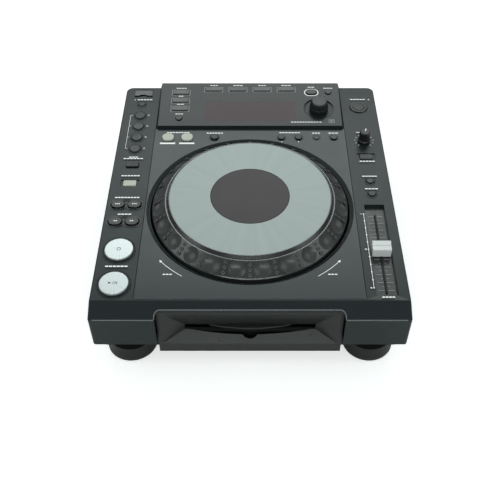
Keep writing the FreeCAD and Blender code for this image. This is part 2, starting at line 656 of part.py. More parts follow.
def make_display_panel():
    """The wedge-shaped housing that carries the tilted face."""
    y0 = FRONT_Y + DISPLAY_FROM_FRONT
    y1 = FRONT_Y + DISPLAY_BACK
    inner_half = HOUSING_HALF - HOUSING_WALL

    def ring_face(half, near, far, near_z, far_z):
        corners = [FreeCAD.Vector(-half, near, near_z), FreeCAD.Vector(half, near, near_z),
                   FreeCAD.Vector(half, far, far_z), FreeCAD.Vector(-half, far, far_z)]
        return Part.makePolygon(corners + corners[:1])

    low = ring_face(HOUSING_HALF, y0, y1, DECK_Z, DECK_Z)
    front_y, front_z = on_face(0.3, -FACE_THICKNESS)
    rear_y, rear_z = on_face(FACE_LENGTH, -FACE_THICKNESS)
    high = ring_face(HOUSING_HALF - HOUSING_DRAFT, front_y, rear_y, front_z, rear_z)
    body = Part.makeLoft([low, high], True, True)
    hollow_low = ring_face(inner_half, y0 + HOUSING_WALL, y1 - 4.5, DECK_Z - 1, DECK_Z - 1)
    front_y, front_z = on_face(HOUSING_WALL, FACE_UNDER)
    rear_y, rear_z = on_face(FACE_LENGTH - HOUSING_WALL, FACE_UNDER)
    hollow_high = ring_face(inner_half - HOUSING_DRAFT, front_y, rear_y, front_z, rear_z)
    hollow = Part.makeLoft([hollow_low, hollow_high], True, True)
    tools = [hollow]
    tools += [tilted(k.hole(FACE_UNDER - 2, FACE_THICKNESS)) for k in face_keys()]
    tools.append(tilted(block(-TUBE_HALF, TUBE_HALF, TUBE_FROM, TUBE_TO, FACE_UNDER - 2, 0)))
    tools.append(tilted(drum(SELECTOR_X, SELECTOR_UP, FACE_UNDER - 2, 1, ROTARY_NOSE + CLEARANCE)))
    dish = turned([(0, -DISH_DEPTH - 0.6), (SELECTOR_DISH - 1.6, -DISH_DEPTH - 0.6),
                   (SELECTOR_DISH + CLEARANCE, -FACE_THICKNESS + 0.1), (SELECTOR_DISH + CLEARANCE, 1),
                   (0, 1)], SELECTOR_X, SELECTOR_UP)
    tools.append(tilted(dish))
    shell = cut(body, tools)
    posts = [tilted(drum(x, s, FACE_BOARD, FACE_UNDER + 0.2, 2.2)) for x, s in face_posts()]
    return shell.fuse(posts).removeSplitter()


def face_posts():
    """Posts under the face that carry its board, as (x, up the face) places."""
    return [(-98.0, 20.0), (-66.0, FACE_LENGTH - 24.0), (62.0, 12.0), (98.0, 42.0)]


def make_display_window():
    """The smoked sheet that covers the whole tilted face."""
    half = HOUSING_HALF - HOUSING_DRAFT
    sheet = slab(0, FACE_LENGTH / 2, -FACE_THICKNESS, 0, 2 * half, FACE_LENGTH - 0.6, 0.8)
    sheet = softened(sheet, 0, 0.35)
    tools = [k.hole(-FACE_THICKNESS - 1, 1) for k in face_keys()]
    tools.append(drum(SELECTOR_X, SELECTOR_UP, -FACE_THICKNESS - 1, 1, SELECTOR_DISH))
    return tilted(cut(sheet, tools))


def funnel_ring(half, low, high, low_from_front, high_from_front):
    """A rectangle across the bezel, as one section of the funnel; its top may lean back."""
    y_low = FRONT_Y + low_from_front
    y_high = FRONT_Y + high_from_front
    corners = [FreeCAD.Vector(-half, y_low, low), FreeCAD.Vector(half, y_low, low),
               FreeCAD.Vector(half, y_high, high), FreeCAD.Vector(-half, y_high, high)]
    return Part.makePolygon(corners + corners[:1])


def bezel_front(z):
    """How far from the front the bezel's leaning face lies at a height."""
    share = (z - BEZEL_BOTTOM_Z) / (BEZEL_TOP_Z - BEZEL_BOTTOM_Z)
    return BEZEL_SETBACK + (HOOD_SETBACK - BEZEL_SETBACK) * share


def bow(half, bulge, from_front, z0, z1):
    """A prism whose plan is a straight chord at the back and an arc bulging to the front."""
    y = FRONT_Y + from_front
    radius = (half ** 2 + bulge ** 2) / (2 * bulge)
    circle = drum(0, y - bulge + radius, z0, z1, radius)
    return circle.common(block(-half, half, y - bulge - 1, y, z0, z1))


def make_slot_bezel():
    """The front bezel: a frame, a four-sided funnel down to the slot, and the pale visor over it."""
    side = [(FRONT_Y + BEZEL_SETBACK, BEZEL_BOTTOM_Z), (FRONT_Y + HOOD_SETBACK, BEZEL_TOP_Z),
            (FRONT_Y + HOOD_SETBACK + BEZEL_WALL, BEZEL_TOP_Z), (FRONT_Y + BEZEL_SETBACK + BEZEL_WALL,
                                                                 BEZEL_BOTTOM_Z)]
    frame = extruded_x(side, -BEZEL_OUTER, BEZEL_OUTER)
    mouth_half = BEZEL_OUTER - BEZEL_FRAME
    mouth_low = BEZEL_BOTTOM_Z + LIP_HEIGHT
    mouth_high = BEZEL_TOP_Z - 1.2
    flare_low = bezel_front(mouth_low)
    flare_high = bezel_front(mouth_high)
    outer = Part.makeLoft([funnel_ring(mouth_half + BEZEL_WALL, mouth_low - BEZEL_WALL, BEZEL_TOP_Z,
                                       bezel_front(mouth_low - BEZEL_WALL), HOOD_SETBACK),
                           funnel_ring(SLOT_HALF + BEZEL_WALL, SLOT_LOW_Z - BEZEL_WALL,
                                       SLOT_HIGH_Z + BEZEL_WALL, BEZEL_BACK, BEZEL_BACK)], True, True)
    inner = Part.makeLoft([funnel_ring(mouth_half, mouth_low, mouth_high, flare_low, flare_high),
                           funnel_ring(SLOT_HALF, SLOT_LOW_Z, SLOT_HIGH_Z, SLOT_PLANE, SLOT_PLANE)], True,
                           True)
    sill = block(-BEZEL_OUTER, BEZEL_OUTER, FRONT_Y + BEZEL_SETBACK, FRONT_Y + BEZEL_BACK,
                 BEZEL_BOTTOM_Z, BEZEL_BOTTOM_Z + BEZEL_WALL)
    shell = frame.fuse([outer, sill])
    back = block(-SLOT_HALF, SLOT_HALF, FRONT_Y + SLOT_PLANE - 0.5, FRONT_Y + BEZEL_BACK + 1,
                 SLOT_LOW_Z, SLOT_HIGH_Z)
    scoop = bow(SLOT_HALF - 4, SLOT_BULGE, SLOT_PLANE, SLOT_LOW_Z - 9, SLOT_LOW_Z + 1)
    thumb = drum(0, FRONT_Y + SLOT_PLANE - SLOT_BULGE - THUMB_REACH + THUMB_RADIUS, SLOT_LOW_Z - 14,
                 SLOT_LOW_Z + 1, THUMB_RADIUS)
    thumb = thumb.common(block(-BIG, BIG, FRONT_Y, FRONT_Y + SLOT_PLANE, 0, BIG))
    shell = cut(shell, [inner, back, scoop, thumb]).removeSplitter()
    visor = bow(VISOR_HALF, VISOR_BULGE, SLOT_PLANE, SLOT_HIGH_Z - VISOR_THICKNESS, SLOT_HIGH_Z)
    visor = visor.cut(shell)
    return Part.Compound(shell.Solids + visor.Solids)


def foot_places():
    """Centres of the four feet."""
    x = HALF_WIDTH - FOOT_FROM_SIDE
    return [(side * x, y) for y in (FRONT_Y + FOOT_FROM_FRONT, REAR_Y - FOOT_FROM_BACK) for side in (-1, 1)]


def main_board_box():
    """Plan of the main board: x0, x1, y0, y1."""
    return (-CHASSIS_HALF + 18, 62.0, FRONT_Y + JOG_FROM_FRONT + 54, REAR_Y - 15)


def power_board_box():
    """Plan of the power board: x0, x1, y0, y1."""
    return (70.0, CHASSIS_HALF - 8, FRONT_Y + JOG_FROM_FRONT + 54, REAR_Y - 15)


def corners_of(plan, margin=5.0):
    """The four screw places inside a board's corners."""
    x0, x1, y0, y1 = plan
    return [(x, y) for x in (x0 + margin, x1 - margin) for y in (y0 + margin, y1 - margin)]


def drive_feet():
    """Places of the four posts under the drive."""
    return [(side * (DRIVE_HALF - 8), DRIVE_Y0 + d) for d in (14.0, DRIVE_LENGTH - 12) for side in (-1, 1)]


def edge_angle(x0, x1, y0, y1, outward):
    """A side wall of the tray with the flange that points outward from its top edge.

    outward   the plan of the flange: x0, x1, y0, y1
    """
    wall = block(x0, x1, y0, y1, FLOOR_Z + SHEET, SKIRT_Z)
    fx0, fx1, fy0, fy1 = outward
    return wall.fuse(block(fx0, fx1, fy0, fy1, SKIRT_Z, SKIRT_Z + SHEET)).removeSplitter()


def make_bottom_chassis():
    """The welded steel tray: floor, side walls with their flanges, the porch and the rear wall."""
    front = FRONT_Y + CHASSIS_FRONT
    rear = REAR_WALL_Y
    notch_back = FRONT_Y + BEZEL_BACK
    half = CHASSIS_HALF
    rim = HALF_WIDTH - COVER_WALL - CLEARANCE
    floor = block(-half, half, front, rear, FLOOR_Z, FLOOR_Z + SHEET)
    floor = floor.makeFillet(2.0, [e for e in floor.Edges if abs(e.tangentAt(e.FirstParameter).z) > 0.99])
    floor = floor.cut(block(-BEZEL_HALF, BEZEL_HALF, front - 1, notch_back, FLOOR_Z - 1, FLOOR_Z + 9))
    tools = [drum(x, y, FLOOR_Z - 1, FLOOR_Z + SHEET + 0.5, SCREW_RADIUS + 0.15) for x, y in post_places()]
    tools += [drum(x, y, FLOOR_Z - 1, FLOOR_Z + SHEET + 0.5, FOOT_SCREW + 0.2) for x, y in foot_places()]
    tools += floor_vents()
    pieces = [cut(floor, tools)]
    for side in (-1, 1):
        x0, x1 = sorted((side * half, side * (half - SHEET)))
        f0, f1 = sorted((side * rim, side * (half - SHEET)))
        pieces.append(edge_angle(x0, x1, front, rear - SHEET, (f0, f1, front, REAR_Y - REAR_CORNER - 2)))
        x0, x1 = sorted((side * (half - SHEET), side * BEZEL_HALF))
        pieces.append(edge_angle(x0, x1, front, front + SHEET, (x0, x1, FRONT_Y + COVER_WALL + CLEARANCE,
                                                               front + SHEET)))
    porch_top = SLOT_LOW_Z - BEZEL_WALL - 2
    pieces.append(block(-BEZEL_HALF, BEZEL_HALF, notch_back, notch_back + SHEET, FLOOR_Z + SHEET, porch_top))
    wall = block(-half, half, rear - SHEET, rear, FLOOR_Z + SHEET, SKIRT_Z)
    wall = wall.fuse(block(-REAR_WALL_HALF, REAR_WALL_HALF, rear - SHEET, rear, SKIRT_Z, REAR_WALL_TOP))
    tools = [socket.opening() for socket in rear_socket_list()]
    tools.append(power_key_plan(rear - SHEET - 1, rear + 1, KEY_GAP))
    pieces.append(cut(wall.removeSplitter(), tools))
    for plan in (main_board_box(), power_board_box()):
        pieces += [drum(x, y, FLOOR_Z + SHEET, FLOOR_Z + SHEET + STANDOFF, 3.0) for x, y in corners_of(plan)]
    pieces += [drum(x, y, FLOOR_Z + SHEET, DRIVE_Z, 4.0) for x, y in drive_feet()]
    return Part.Compound([s for p in pieces for s in p.Solids])


def floor_vents():
    """Two rows of cooling slots in the floor, under the boards."""
    slots = []
    for row_x in (-60.0, 0.0):
        for n in range(7):
            slots.append(slab(row_x, REAR_Y - 100 + n * 7.0, FLOOR_Z - 1, FLOOR_Z + SHEET + 1, 34.0, 3.0,
                              1.5))
    return slots


@dataclass
class Socket:
    """A rear socket: a flanged body through the rear wall and its bore or cavity."""

    kind: str
    x: float
    z: float

    def opening(self):
        """The hole in the rear wall."""
        wall = REAR_WALL_Y
        if self.kind == "mains":
            return block(self.x - MAINS_WIDTH / 2 - FIT, self.x + MAINS_WIDTH / 2 + FIT, wall - 4, wall + 4,
                         self.z - MAINS_HEIGHT / 2 - FIT, self.z + MAINS_HEIGHT / 2 + FIT)
        if self.kind == "data":
            return block(self.x - DATA_WIDTH / 2 - FIT, self.x + DATA_WIDTH / 2 + FIT, wall - 4, wall + 4,
                         self.z - DATA_HEIGHT / 2 - FIT, self.z + DATA_HEIGHT / 2 + FIT)
        return peg(wall - 4, wall + 4, self.x, self.z, PHONO_COLLAR + FIT)

    def solid(self):
        """The socket itself; every part of it touches the wall."""
        wall = REAR_WALL_Y
        if self.kind == "mains":
            flange = slab(self.x, 0, 0, 2.0, MAINS_WIDTH + 8, MAINS_HEIGHT + 5, 2.0)
            flange = flat_on_wall(flange, self.z, wall)
            body = block(self.x - MAINS_WIDTH / 2, self.x + MAINS_WIDTH / 2, wall - 18, wall + 1,
                         self.z - MAINS_HEIGHT / 2, self.z + MAINS_HEIGHT / 2)
            cavity = block(self.x - 11.8, self.x + 11.8, wall - 16, wall + 4, self.z - 7.8, self.z + 7.8)
            pins = [block(self.x + dx - 1, self.x + dx + 1, wall - 16.5, wall - 5, self.z + dz - 2,
                          self.z + dz + 2)
                    for dx, dz in ((-7, -2), (0, 2), (7, -2))]
            return flange.fuse(body).cut(cavity).fuse(pins).removeSplitter()
        if self.kind == "data":
            body = block(self.x - DATA_WIDTH / 2, self.x + DATA_WIDTH / 2, wall - 14, wall + 1.0,
                         self.z - DATA_HEIGHT / 2, self.z + DATA_HEIGHT / 2)
            cavity = block(self.x - DATA_WIDTH / 2 + 0.8, self.x + DATA_WIDTH / 2 - 0.8, wall - 12, wall + 2,
                           self.z - DATA_HEIGHT / 2 + 0.8, self.z + DATA_HEIGHT / 2 - 0.8)
            tongue = block(self.x - 2.8, self.x + 2.8, wall - 12.5, wall - 1, self.z - 1.6, self.z + 1.6)
            return body.cut(cavity).fuse(tongue).removeSplitter()
        if self.kind == "phono":
            collar = peg(wall - 8, wall + 1.6, self.x, self.z, PHONO_COLLAR)
            shell = peg(wall, wall + SOCKET_REACH + REAR_INSET, self.x, self.z, PHONO_RADIUS)
            bore = peg(wall - 6, wall + SOCKET_REACH + REAR_INSET + 1, self.x, self.z, PHONO_BORE)
            return collar.fuse(shell).cut(bore).removeSplitter()
        collar = peg(wall - 10, wall + 1.2, self.x, self.z, PHONO_COLLAR)
        bore = peg(wall - 9, wall + 2, self.x, self.z, JACK_BORE)
        return collar.cut(bore)


def flat_on_wall(shape, z, wall):
    """Turns a plate drawn flat at the origin to lie on the rear wall at height z."""
    moved = shape.copy()
    moved.rotate(FreeCAD.Vector(0, 0, 0), FreeCAD.Vector(1, 0, 0), -90)
    moved.translate(FreeCAD.Vector(0, wall, z))
    return moved


def rear_socket_list():
    """The sockets along the rear wall, from the mains inlet to the audio pair."""
    places = [("mains", MAINS_X), ("data", 6.0), ("jack", AUDIO_X + 69.0), ("phono", AUDIO_X + 45.0),
              ("phono", AUDIO_X + 20.0), ("phono", AUDIO_X)]
    return [Socket(kind, x, SOCKET_Z) for kind, x in places]


def power_key_plan(y0, y1, grow=0.0):
    """A prism through the rear wall with the power key's outline."""
    return block(POWER_KEY_X - POWER_KEY_WIDTH / 2 - grow, POWER_KEY_X + POWER_KEY_WIDTH / 2 + grow, y0, y1,
                 SOCKET_Z - POWER_KEY_HEIGHT / 2 - grow, SOCKET_Z + POWER_KEY_HEIGHT / 2 + grow)


def make_power_button():
    """The rear power key, with a flange behind the wall that holds it in."""
    inside = REAR_WALL_Y - SHEET
    cap = power_key_plan(inside - SEAT_GAP, REAR_WALL_Y + 4.0)
    cap = cap.makeFillet(0.8, [e for e in cap.Edges if e.BoundBox.YMin > REAR_WALL_Y + 3.9])
    flange = power_key_plan(inside - SEAT_GAP - 1.5, inside - SEAT_GAP, 1.2)
    stem = block(POWER_KEY_X - 2, POWER_KEY_X + 2, inside - 8, inside - SEAT_GAP - 1.5, SOCKET_Z - 2,
                 SOCKET_Z + 2)
    return cap.fuse([flange, stem]).removeSplitter()


def make_rear_sockets():
    """All the rear sockets and the power switch's body."""
    pieces = [socket.solid() for socket in rear_socket_list()]
    inside = REAR_WALL_Y - SHEET
    switch = block(POWER_KEY_X - 7, POWER_KEY_X + 7, inside - 24, inside, SOCKET_Z - 8.5, SOCKET_Z + 8.5)
    channel = block(POWER_KEY_X - 7.0, POWER_KEY_X + 7.0, inside - 5.5, inside + 1, SOCKET_Z - 6.0,
                    SOCKET_Z + 6.0)
    well = block(POWER_KEY_X - 2.4, POWER_KEY_X + 2.4, inside - 12, inside, SOCKET_Z - 2.4, SOCKET_Z + 2.4)
    pieces.append(switch.cut([channel, well]))
    return Part.Compound([s for p in pieces for s in p.Solids])


def make_feet():
    """Four big round feet, each with a seat for its pad and a deep hole for its screw."""
    feet = []
    for x, y in foot_places():
        foot = turned([(0, PAD_PROUD), (FOOT_RADIUS - 1.6, PAD_PROUD), (FOOT_RADIUS, PAD_PROUD + 1.6),
                       (FOOT_RADIUS, 6.0), (FOOT_TOP_RADIUS, FOOT_HEIGHT), (0, FOOT_HEIGHT)], x, y)
        tools = [drum(x, y, 0, PAD_HEIGHT, PAD_RADIUS + 0.1), drum(x, y, 0, 9.0, FOOT_HEAD + 0.4),
                 drum(x, y, 0, FOOT_HEIGHT + 1, FOOT_SCREW + 0.2)]
        feet.append(cut(foot, tools))
    return Part.Compound([s for f in feet for s in f.Solids])


def make_foot_pads():
    """Four rubber rings that the player rests on."""
    pads = [drum(x, y, 0, PAD_HEIGHT, PAD_RADIUS).cut(drum(x, y, -1, PAD_HEIGHT + 1, FOOT_HEAD + 0.4))
            for x, y in foot_places()]
    return Part.Compound([s for p in pads for s in p.Solids])


def make_case_screws():
    """The screws of the feet and of the cover's four posts."""
    screws = []
    for x, y in foot_places():
        head = drum(x, y, 9.0 - 2.6, 9.0, FOOT_HEAD)
        slot = block(x - 2.6, x + 2.6, y - 0.5, y + 0.5, 6.0, 7.4)
        cross = block(x - 0.5, x + 0.5, y - 2.6, y + 2.6, 6.0, 7.4)
        shank = drum(x, y, 9.0, FLOOR_Z + SHEET + 3.0, FOOT_SCREW)
        screws.append(head.fuse(shank).cut([slot, cross]))
    for x, y in post_places():
        head = drum(x, y, FLOOR_Z - 2.0, FLOOR_Z, 2.8)
        slot = block(x - 1.9, x + 1.9, y - 0.4, y + 0.4, FLOOR_Z - 3, FLOOR_Z - 1)
        cross = block(x - 0.4, x + 0.4, y - 1.9, y + 1.9, FLOOR_Z - 3, FLOOR_Z - 1)
        shank = drum(x, y, FLOOR_Z, FLOOR_Z + SHEET + 12, SCREW_RADIUS)
        screws.append(head.fuse(shank).cut([slot, cross]))
    return Part.Compound([s for p in screws for s in p.Solids])


def plate_of(plan, z, thickness=BOARD):
    """A board of a given plan."""
    x0, x1, y0, y1 = plan
    return block(x0, x1, y0, y1, z, z + thickness)


def make_circuit_boards():
    """The main board and the power board with their larger parts."""
    z = FLOOR_Z + SHEET + STANDOFF
    top = z + BOARD
    main = main_board_box()
    power = power_board_box()
    mx, my = main[0], main[2]
    px, py = power[0], power[2]
    pieces = [plate_of(main, z), plate_of(power, z)]
    for dx, dy, w, l, h in ((58, 40, 24, 24, 2.2), (96, 44, 20, 20, 2.0), (60, 84, 14, 20, 1.8),
                            (96, 86, 16, 12, 1.6), (24, 60, 12, 12, 3.0), (148, 60, 18, 26, 2.4)):
        pieces.append(block(mx + dx, mx + dx + w, my + dy, my + dy + l, top, top + h))
    for dx, dy, r, h in ((20, 30, 4, 9), (32, 30, 4, 9), (150, 28, 5, 11), (164, 28, 5, 11)):
        pieces.append(drum(mx + dx, my + dy, top, top + h, r))
    pieces.append(block(px + 12, px + 50, py + 20, py + 52, top, top + 27))
    for dx, dy, r, h in ((16, 70, 9, 24), (40, 72, 6, 16), (56, 72, 6, 16), (14, 96, 5, 13)):
        pieces.append(drum(px + dx, py + dy, top, top + h, r))
    fins = [block(px + 34 + n * 4, px + 35.4 + n * 4, py + 86, py + 100, top, top + 20) for n in range(6)]
    base = block(px + 34, px + 55.4, py + 86, py + 100, top, top + 3)
    pieces.append(base.fuse(fins).removeSplitter())
    return Part.Compound([s for p in pieces for s in p.Solids])


def left_board_plan():
    """Plan of the left key board."""
    return (-COLUMN_X - 12.0, -COLUMN_X + 13.4, FRONT_Y + 26.0, REAR_Y - 8.0)


def right_board_plan():
    """Plan of the right key board, behind the slider."""
    return (COLUMN_X - 14.0, COLUMN_X + 12.4, WELL_Y1 + 4.0, REAR_Y - 26.0)


def row_board_plan():
    """Plan of the board under the key row."""
    y = FRONT_Y + KEY_ROW_FROM_FRONT
    return (-104.0, 106.0, y - 3.2, y + 8.6)


def make_panel_boards():
    """The four key boards with every switch, the display tube, and the slider and rotary bodies."""
    z = UNDER_Z - BOARD_DROP
    left = plate_of(left_board_plan(), z - BOARD)
    socket_hole = block(STICK_X - STICK_SOCKET_WIDTH / 2, STICK_X + STICK_SOCKET_WIDTH / 2,
                        STICK_Y - STICK_SOCKET_LENGTH / 2, STICK_Y + STICK_SOCKET_LENGTH / 2, z - 5, z + 1)
    left = left.cut(socket_hole)
    right = plate_of(right_board_plan(), z - BOARD)
    row = plate_of(row_board_plan(), z - BOARD)
    pieces = [left, right, row]
    pieces += [k.switch(UNDER_Z) for k in left_keys() + right_keys() + row_keys()]
    pieces.append(stick_socket())
    pieces.append(fader_body())
    pieces.append(rotary_body(SPEED_X, SPEED_Y, z, UNDER_Z))
    face_board = block(-HOUSING_HALF + 10, HOUSING_HALF - 8.6, 7.0, FACE_LENGTH - 6.5, FACE_BOARD - BOARD,
                       FACE_BOARD)
    pieces.append(tilted(face_board))
    pieces += [tilted(k.switch(FACE_UNDER)) for k in face_keys()]
    tube = block(-TUBE_HALF + 0.5, TUBE_HALF - 0.5, TUBE_FROM + 0.5, TUBE_TO - 0.5, FACE_BOARD,
                 -FACE_THICKNESS - 0.2)
    pieces.append(tilted(tube))
    pieces.append(tilted(rotary_body(SELECTOR_X, SELECTOR_UP, FACE_BOARD, FACE_UNDER)))
    return Part.Compound([s for p in pieces for s in p.Solids])


def rotary_body(x, y, board_top, under):
    """A potentiometer or encoder: a square body with a round nose, bored for its shaft."""
    half = ROTARY_BODY / 2
    body = block(x - half, x + half, y - half, y + half, board_top, under - 1.0)
    nose = drum(x, y, under - 1.0, under + 0.6, ROTARY_NOSE)
    bore = drum(x, y, board_top + 1.5, under + 2, SHAFT_RADIUS + RUNNING)
    return body.fuse(nose).cut(bore).removeSplitter()


def stick_socket():
    """The upright socket for a memory stick, in the well under the flap."""
    z0 = UNDER_Z - BOARD_DROP - BOARD - 5.0
    shell = block(STICK_X - STICK_SOCKET_WIDTH / 2 + FIT, STICK_X + STICK_SOCKET_WIDTH / 2 - FIT,
                  STICK_Y - STICK_SOCKET_LENGTH / 2 + FIT, STICK_Y + STICK_SOCKET_LENGTH / 2 - FIT, z0,
                  STICK_FLOOR_Z)
    cavity = block(STICK_X - STICK_SOCKET_WIDTH / 2 + 0.5, STICK_X + STICK_SOCKET_WIDTH / 2 - 0.5,
                   STICK_Y - STICK_SOCKET_LENGTH / 2 + 0.5, STICK_Y + STICK_SOCKET_LENGTH / 2 - 0.5, z0 + 1,
                   STICK_FLOOR_Z + 1)
    tongue = block(STICK_X - 5.5, STICK_X + 5.5, STICK_Y - 0.2, STICK_Y + 1.6, z0 + 0.5, STICK_FLOOR_Z - 0.8)
    return shell.cut(cavity).fuse(tongue).removeSplitter()


def fader_body():
    """The slider's long metal body, open on top for the lever."""
    half = FADER_BODY_WIDTH / 2
    body = block(FADER_X - half, FADER_X + half, RAIL_Y0 - 4, RAIL_Y1 + 10,
                 FADER_BODY_TOP - FADER_BODY_HEIGHT,
                 FADER_BODY_TOP)
    inside = block(FADER_X - half + FADER_WALL, FADER_X + half - FADER_WALL, RAIL_Y0 - 4 + FADER_WALL,
                   RAIL_Y1 + 10 - FADER_WALL, FADER_BODY_TOP - FADER_BODY_HEIGHT + FADER_WALL,
                   FADER_BODY_TOP - FADER_WALL)
    slot = block(FADER_X - FADER_SLOT / 2, FADER_X + FADER_SLOT / 2, RAIL_Y0, RAIL_Y1,
                 FADER_BODY_TOP - FADER_WALL - 1, FADER_BODY_TOP + 1)
    return body.cut([inside, slot])


def make_tempo_slider():
    """The slider's cap, saddle-shaped with two ridges, and the steel lever that carries it."""
    base = FADER_FLOOR_Z + 0.8
    top = base + CAP_HEIGHT
    half = CAP_LENGTH / 2
    y = FADER_Y
    profile = [(y - half, base), (y - half, top - 2.6), (y - half + 1.0, top - 1.4), (y - half + 3.2,
                                                                                      top - 1.8),
               (y - 1.0, top - 0.9), (y + 0.6, top - 2.0), (y + 2.4, top - 0.3), (y + half - 1.6, top),
               (y + half - 0.5, top - 0.6), (y + half, top - 2.2), (y + half, base)]
    cap = extruded_x(profile, FADER_X - CAP_WIDTH / 2, FADER_X + CAP_WIDTH / 2)
    pocket_top = base + CAP_HEIGHT * 0.5
    pocket = block(FADER_X - LEVER / 2, FADER_X + LEVER / 2, y - LEVER_LENGTH / 2, y + LEVER_LENGTH / 2,
                   base - 1, pocket_top)
    cap = cap.cut(pocket)
    stem = block(FADER_X - LEVER / 2, FADER_X + LEVER / 2, y - LEVER_LENGTH / 2, y + LEVER_LENGTH / 2,
                 FADER_BODY_TOP - FADER_WALL - 2.2, pocket_top)
    wiper = block(FADER_X - FADER_BODY_WIDTH / 2 + FADER_WALL + CLEARANCE,
                  FADER_X + FADER_BODY_WIDTH / 2 - FADER_WALL - CLEARANCE, y - LEVER_LENGTH / 2,
                  y + LEVER_LENGTH / 2, FADER_BODY_TOP - FADER_WALL - 4.4, FADER_BODY_TOP - FADER_WALL - 0.25)
    lever = stem.fuse(wiper).removeSplitter()
    return Part.Compound(cap.Solids + lever.Solids)


def make_speed_knob():
    """The pointer knob of the speed control and its shaft."""
    base = DECK_Z + 0.8
    top = base + SPEED_KNOB_HEIGHT
    skirt = turned([(0, base), (SPEED_KNOB_RADIUS, base), (SPEED_KNOB_RADIUS, base + 2.4),
                    (SPEED_KNOB_RADIUS - 0.8, base + 3.4), (SPEED_KNOB_RADIUS - 1.3, top - 0.8),
                    (SPEED_KNOB_RADIUS - 2.1, top), (0, top)], SPEED_X, SPEED_Y)
    flutes = []
    for n in range(10):
        a = radians(36 * n + 18)
        flutes.append(drum(SPEED_X + (SPEED_KNOB_RADIUS + 0.5) * cos(a),
                           SPEED_Y + (SPEED_KNOB_RADIUS + 0.5) * sin(a), base + 3.6, top + 1, 1.7))
    knob = skirt.cut(flutes)
    socket = drum(SPEED_X, SPEED_Y, base - 1, base + 8.0, SHAFT_RADIUS)
    knob = knob.cut(socket)
    shaft = drum(SPEED_X, SPEED_Y, UNDER_Z - BOARD_DROP + 2.0, base + 8.0, SHAFT_RADIUS)
    return Part.Compound(knob.Solids + shaft.Solids)


def make_selector_shaft():
    """The selector's shaft, which goes down when the knob is pushed."""
    low = FACE_BOARD + 1.5 + SELECTOR_TRAVEL + STEM_CLEARANCE
    shaft = drum(SELECTOR_X, SELECTOR_UP, low, SELECTOR_BASE + SELECTOR_SOCKET, SHAFT_RADIUS)
    return tilted(shaft)


def make_selector_knob():
    """The fluted selector knob, which turns on its shaft."""
    base = SELECTOR_BASE
    top = base + SELECTOR_HEIGHT
    body = turned([(0, base), (SELECTOR_RADIUS, base), (SELECTOR_RADIUS, base + 3.4),
                   (SELECTOR_RADIUS - 0.5, base + 4.4), (SELECTOR_TOP_RADIUS + 0.5, top - 1.0),
                   (SELECTOR_TOP_RADIUS - 0.5, top), (0, top)], SELECTOR_X, SELECTOR_UP)
    flutes = []
    for n in range(SELECTOR_FLUTES):
        a = 2 * pi * n / SELECTOR_FLUTES
        reach = SELECTOR_RADIUS + 0.9
        flutes.append(drum(SELECTOR_X + reach * cos(a), SELECTOR_UP + reach * sin(a), base + 4.6, top + 1,
                           2.1))
    socket = drum(SELECTOR_X, SELECTOR_UP, base - 1, base + SELECTOR_SOCKET + 0.1, SHAFT_RADIUS + RUNNING)
    return tilted(body.cut(flutes + [socket]))


def make_jog_dial():
    """The dial: a sloped rim with finger dimples, a web and a hub that turns on the base's post."""
    slope_in = PLATE_RADIUS + PLATE_FLANK + 0.9
    top = DECK_Z + DIAL_RISE
    edge = DECK_Z + DIAL_EDGE_RISE
    web_z = CUP_FLOOR_Z + CUP_FLOOR + 2.0
    hub_top = web_z + 7.0
    profile = [
        (HUB_BORE + RUNNING, web_z - 1.7), (HUB_BORE + HUB_WALL, web_z - 1.7), (HUB_BORE + HUB_WALL, web_z),
        (DIAL_RADIUS - 6.0, web_z), (DIAL_RADIUS - 1.6, web_z + 3.0), (DIAL_RADIUS, web_z + 8.0),
        (DIAL_RADIUS, edge - 0.8), (DIAL_RADIUS - 0.8, edge), (slope_in + 0.6, top - 0.4), (slope_in, top),
        (slope_in - 0.5, top), (slope_in - 0.5, top - 1.4), (slope_in - 3.4, top - 1.4),
        (slope_in - 3.4, web_z + 4.0), (slope_in - 5.0, web_z + WEB), (HUB_BORE + HUB_WALL + 1.0,
                                                                       web_z + WEB),
        (HUB_BORE + HUB_WALL, hub_top), (HUB_BORE + RUNNING, hub_top),
    ]
    dial = turned(profile, 0, JOG_Y)
    drop = (top - 0.4) - edge
    run = (DIAL_RADIUS - 0.8) - (slope_in + 0.6)
    flank = atan2(drop, run)
    middle = ((DIAL_RADIUS - 0.8) + (slope_in + 0.6)) / 2
    sphere_radius = (DIMPLE_RADIUS ** 2 + DIMPLE_DEPTH ** 2) / (2 * DIMPLE_DEPTH)
    lift = sphere_radius - DIMPLE_DEPTH
    z = (top - 0.4 + edge) / 2
    dents = []
    for n in range(DIMPLES):
        a = 2 * pi * (n + 0.5) / DIMPLES - pi / 2
        r = middle + lift * sin(flank)
        centre = FreeCAD.Vector(r * cos(a), JOG_Y + r * sin(a), z + lift * cos(flank))
        dents.append(Part.makeSphere(sphere_radius, centre))
    return dial.cut(dents)


def make_jog_plate():
    """The touch plate with its bevelled edge, and the smoked lens set into its middle."""
    top = DECK_Z + PLATE_RISE
    under = top - PLATE_THICKNESS
    outer = PLATE_RADIUS + PLATE_FLANK
    seat = DECK_Z + DIAL_RISE - 1.4
    plate = turned([(LENS_RADIUS, under), (outer - 5.0, under), (outer - 5.0, seat), (outer, seat),
                    (outer, seat + 1.6), (PLATE_RADIUS, top - 0.1), (PLATE_RADIUS - 0.3, top),
                    (LENS_RADIUS, top)], 0, JOG_Y)
    lens = drum(0, JOG_Y, under, top, LENS_RADIUS - 0.02)
    return Part.Compound(plate.Solids + lens.Solids)


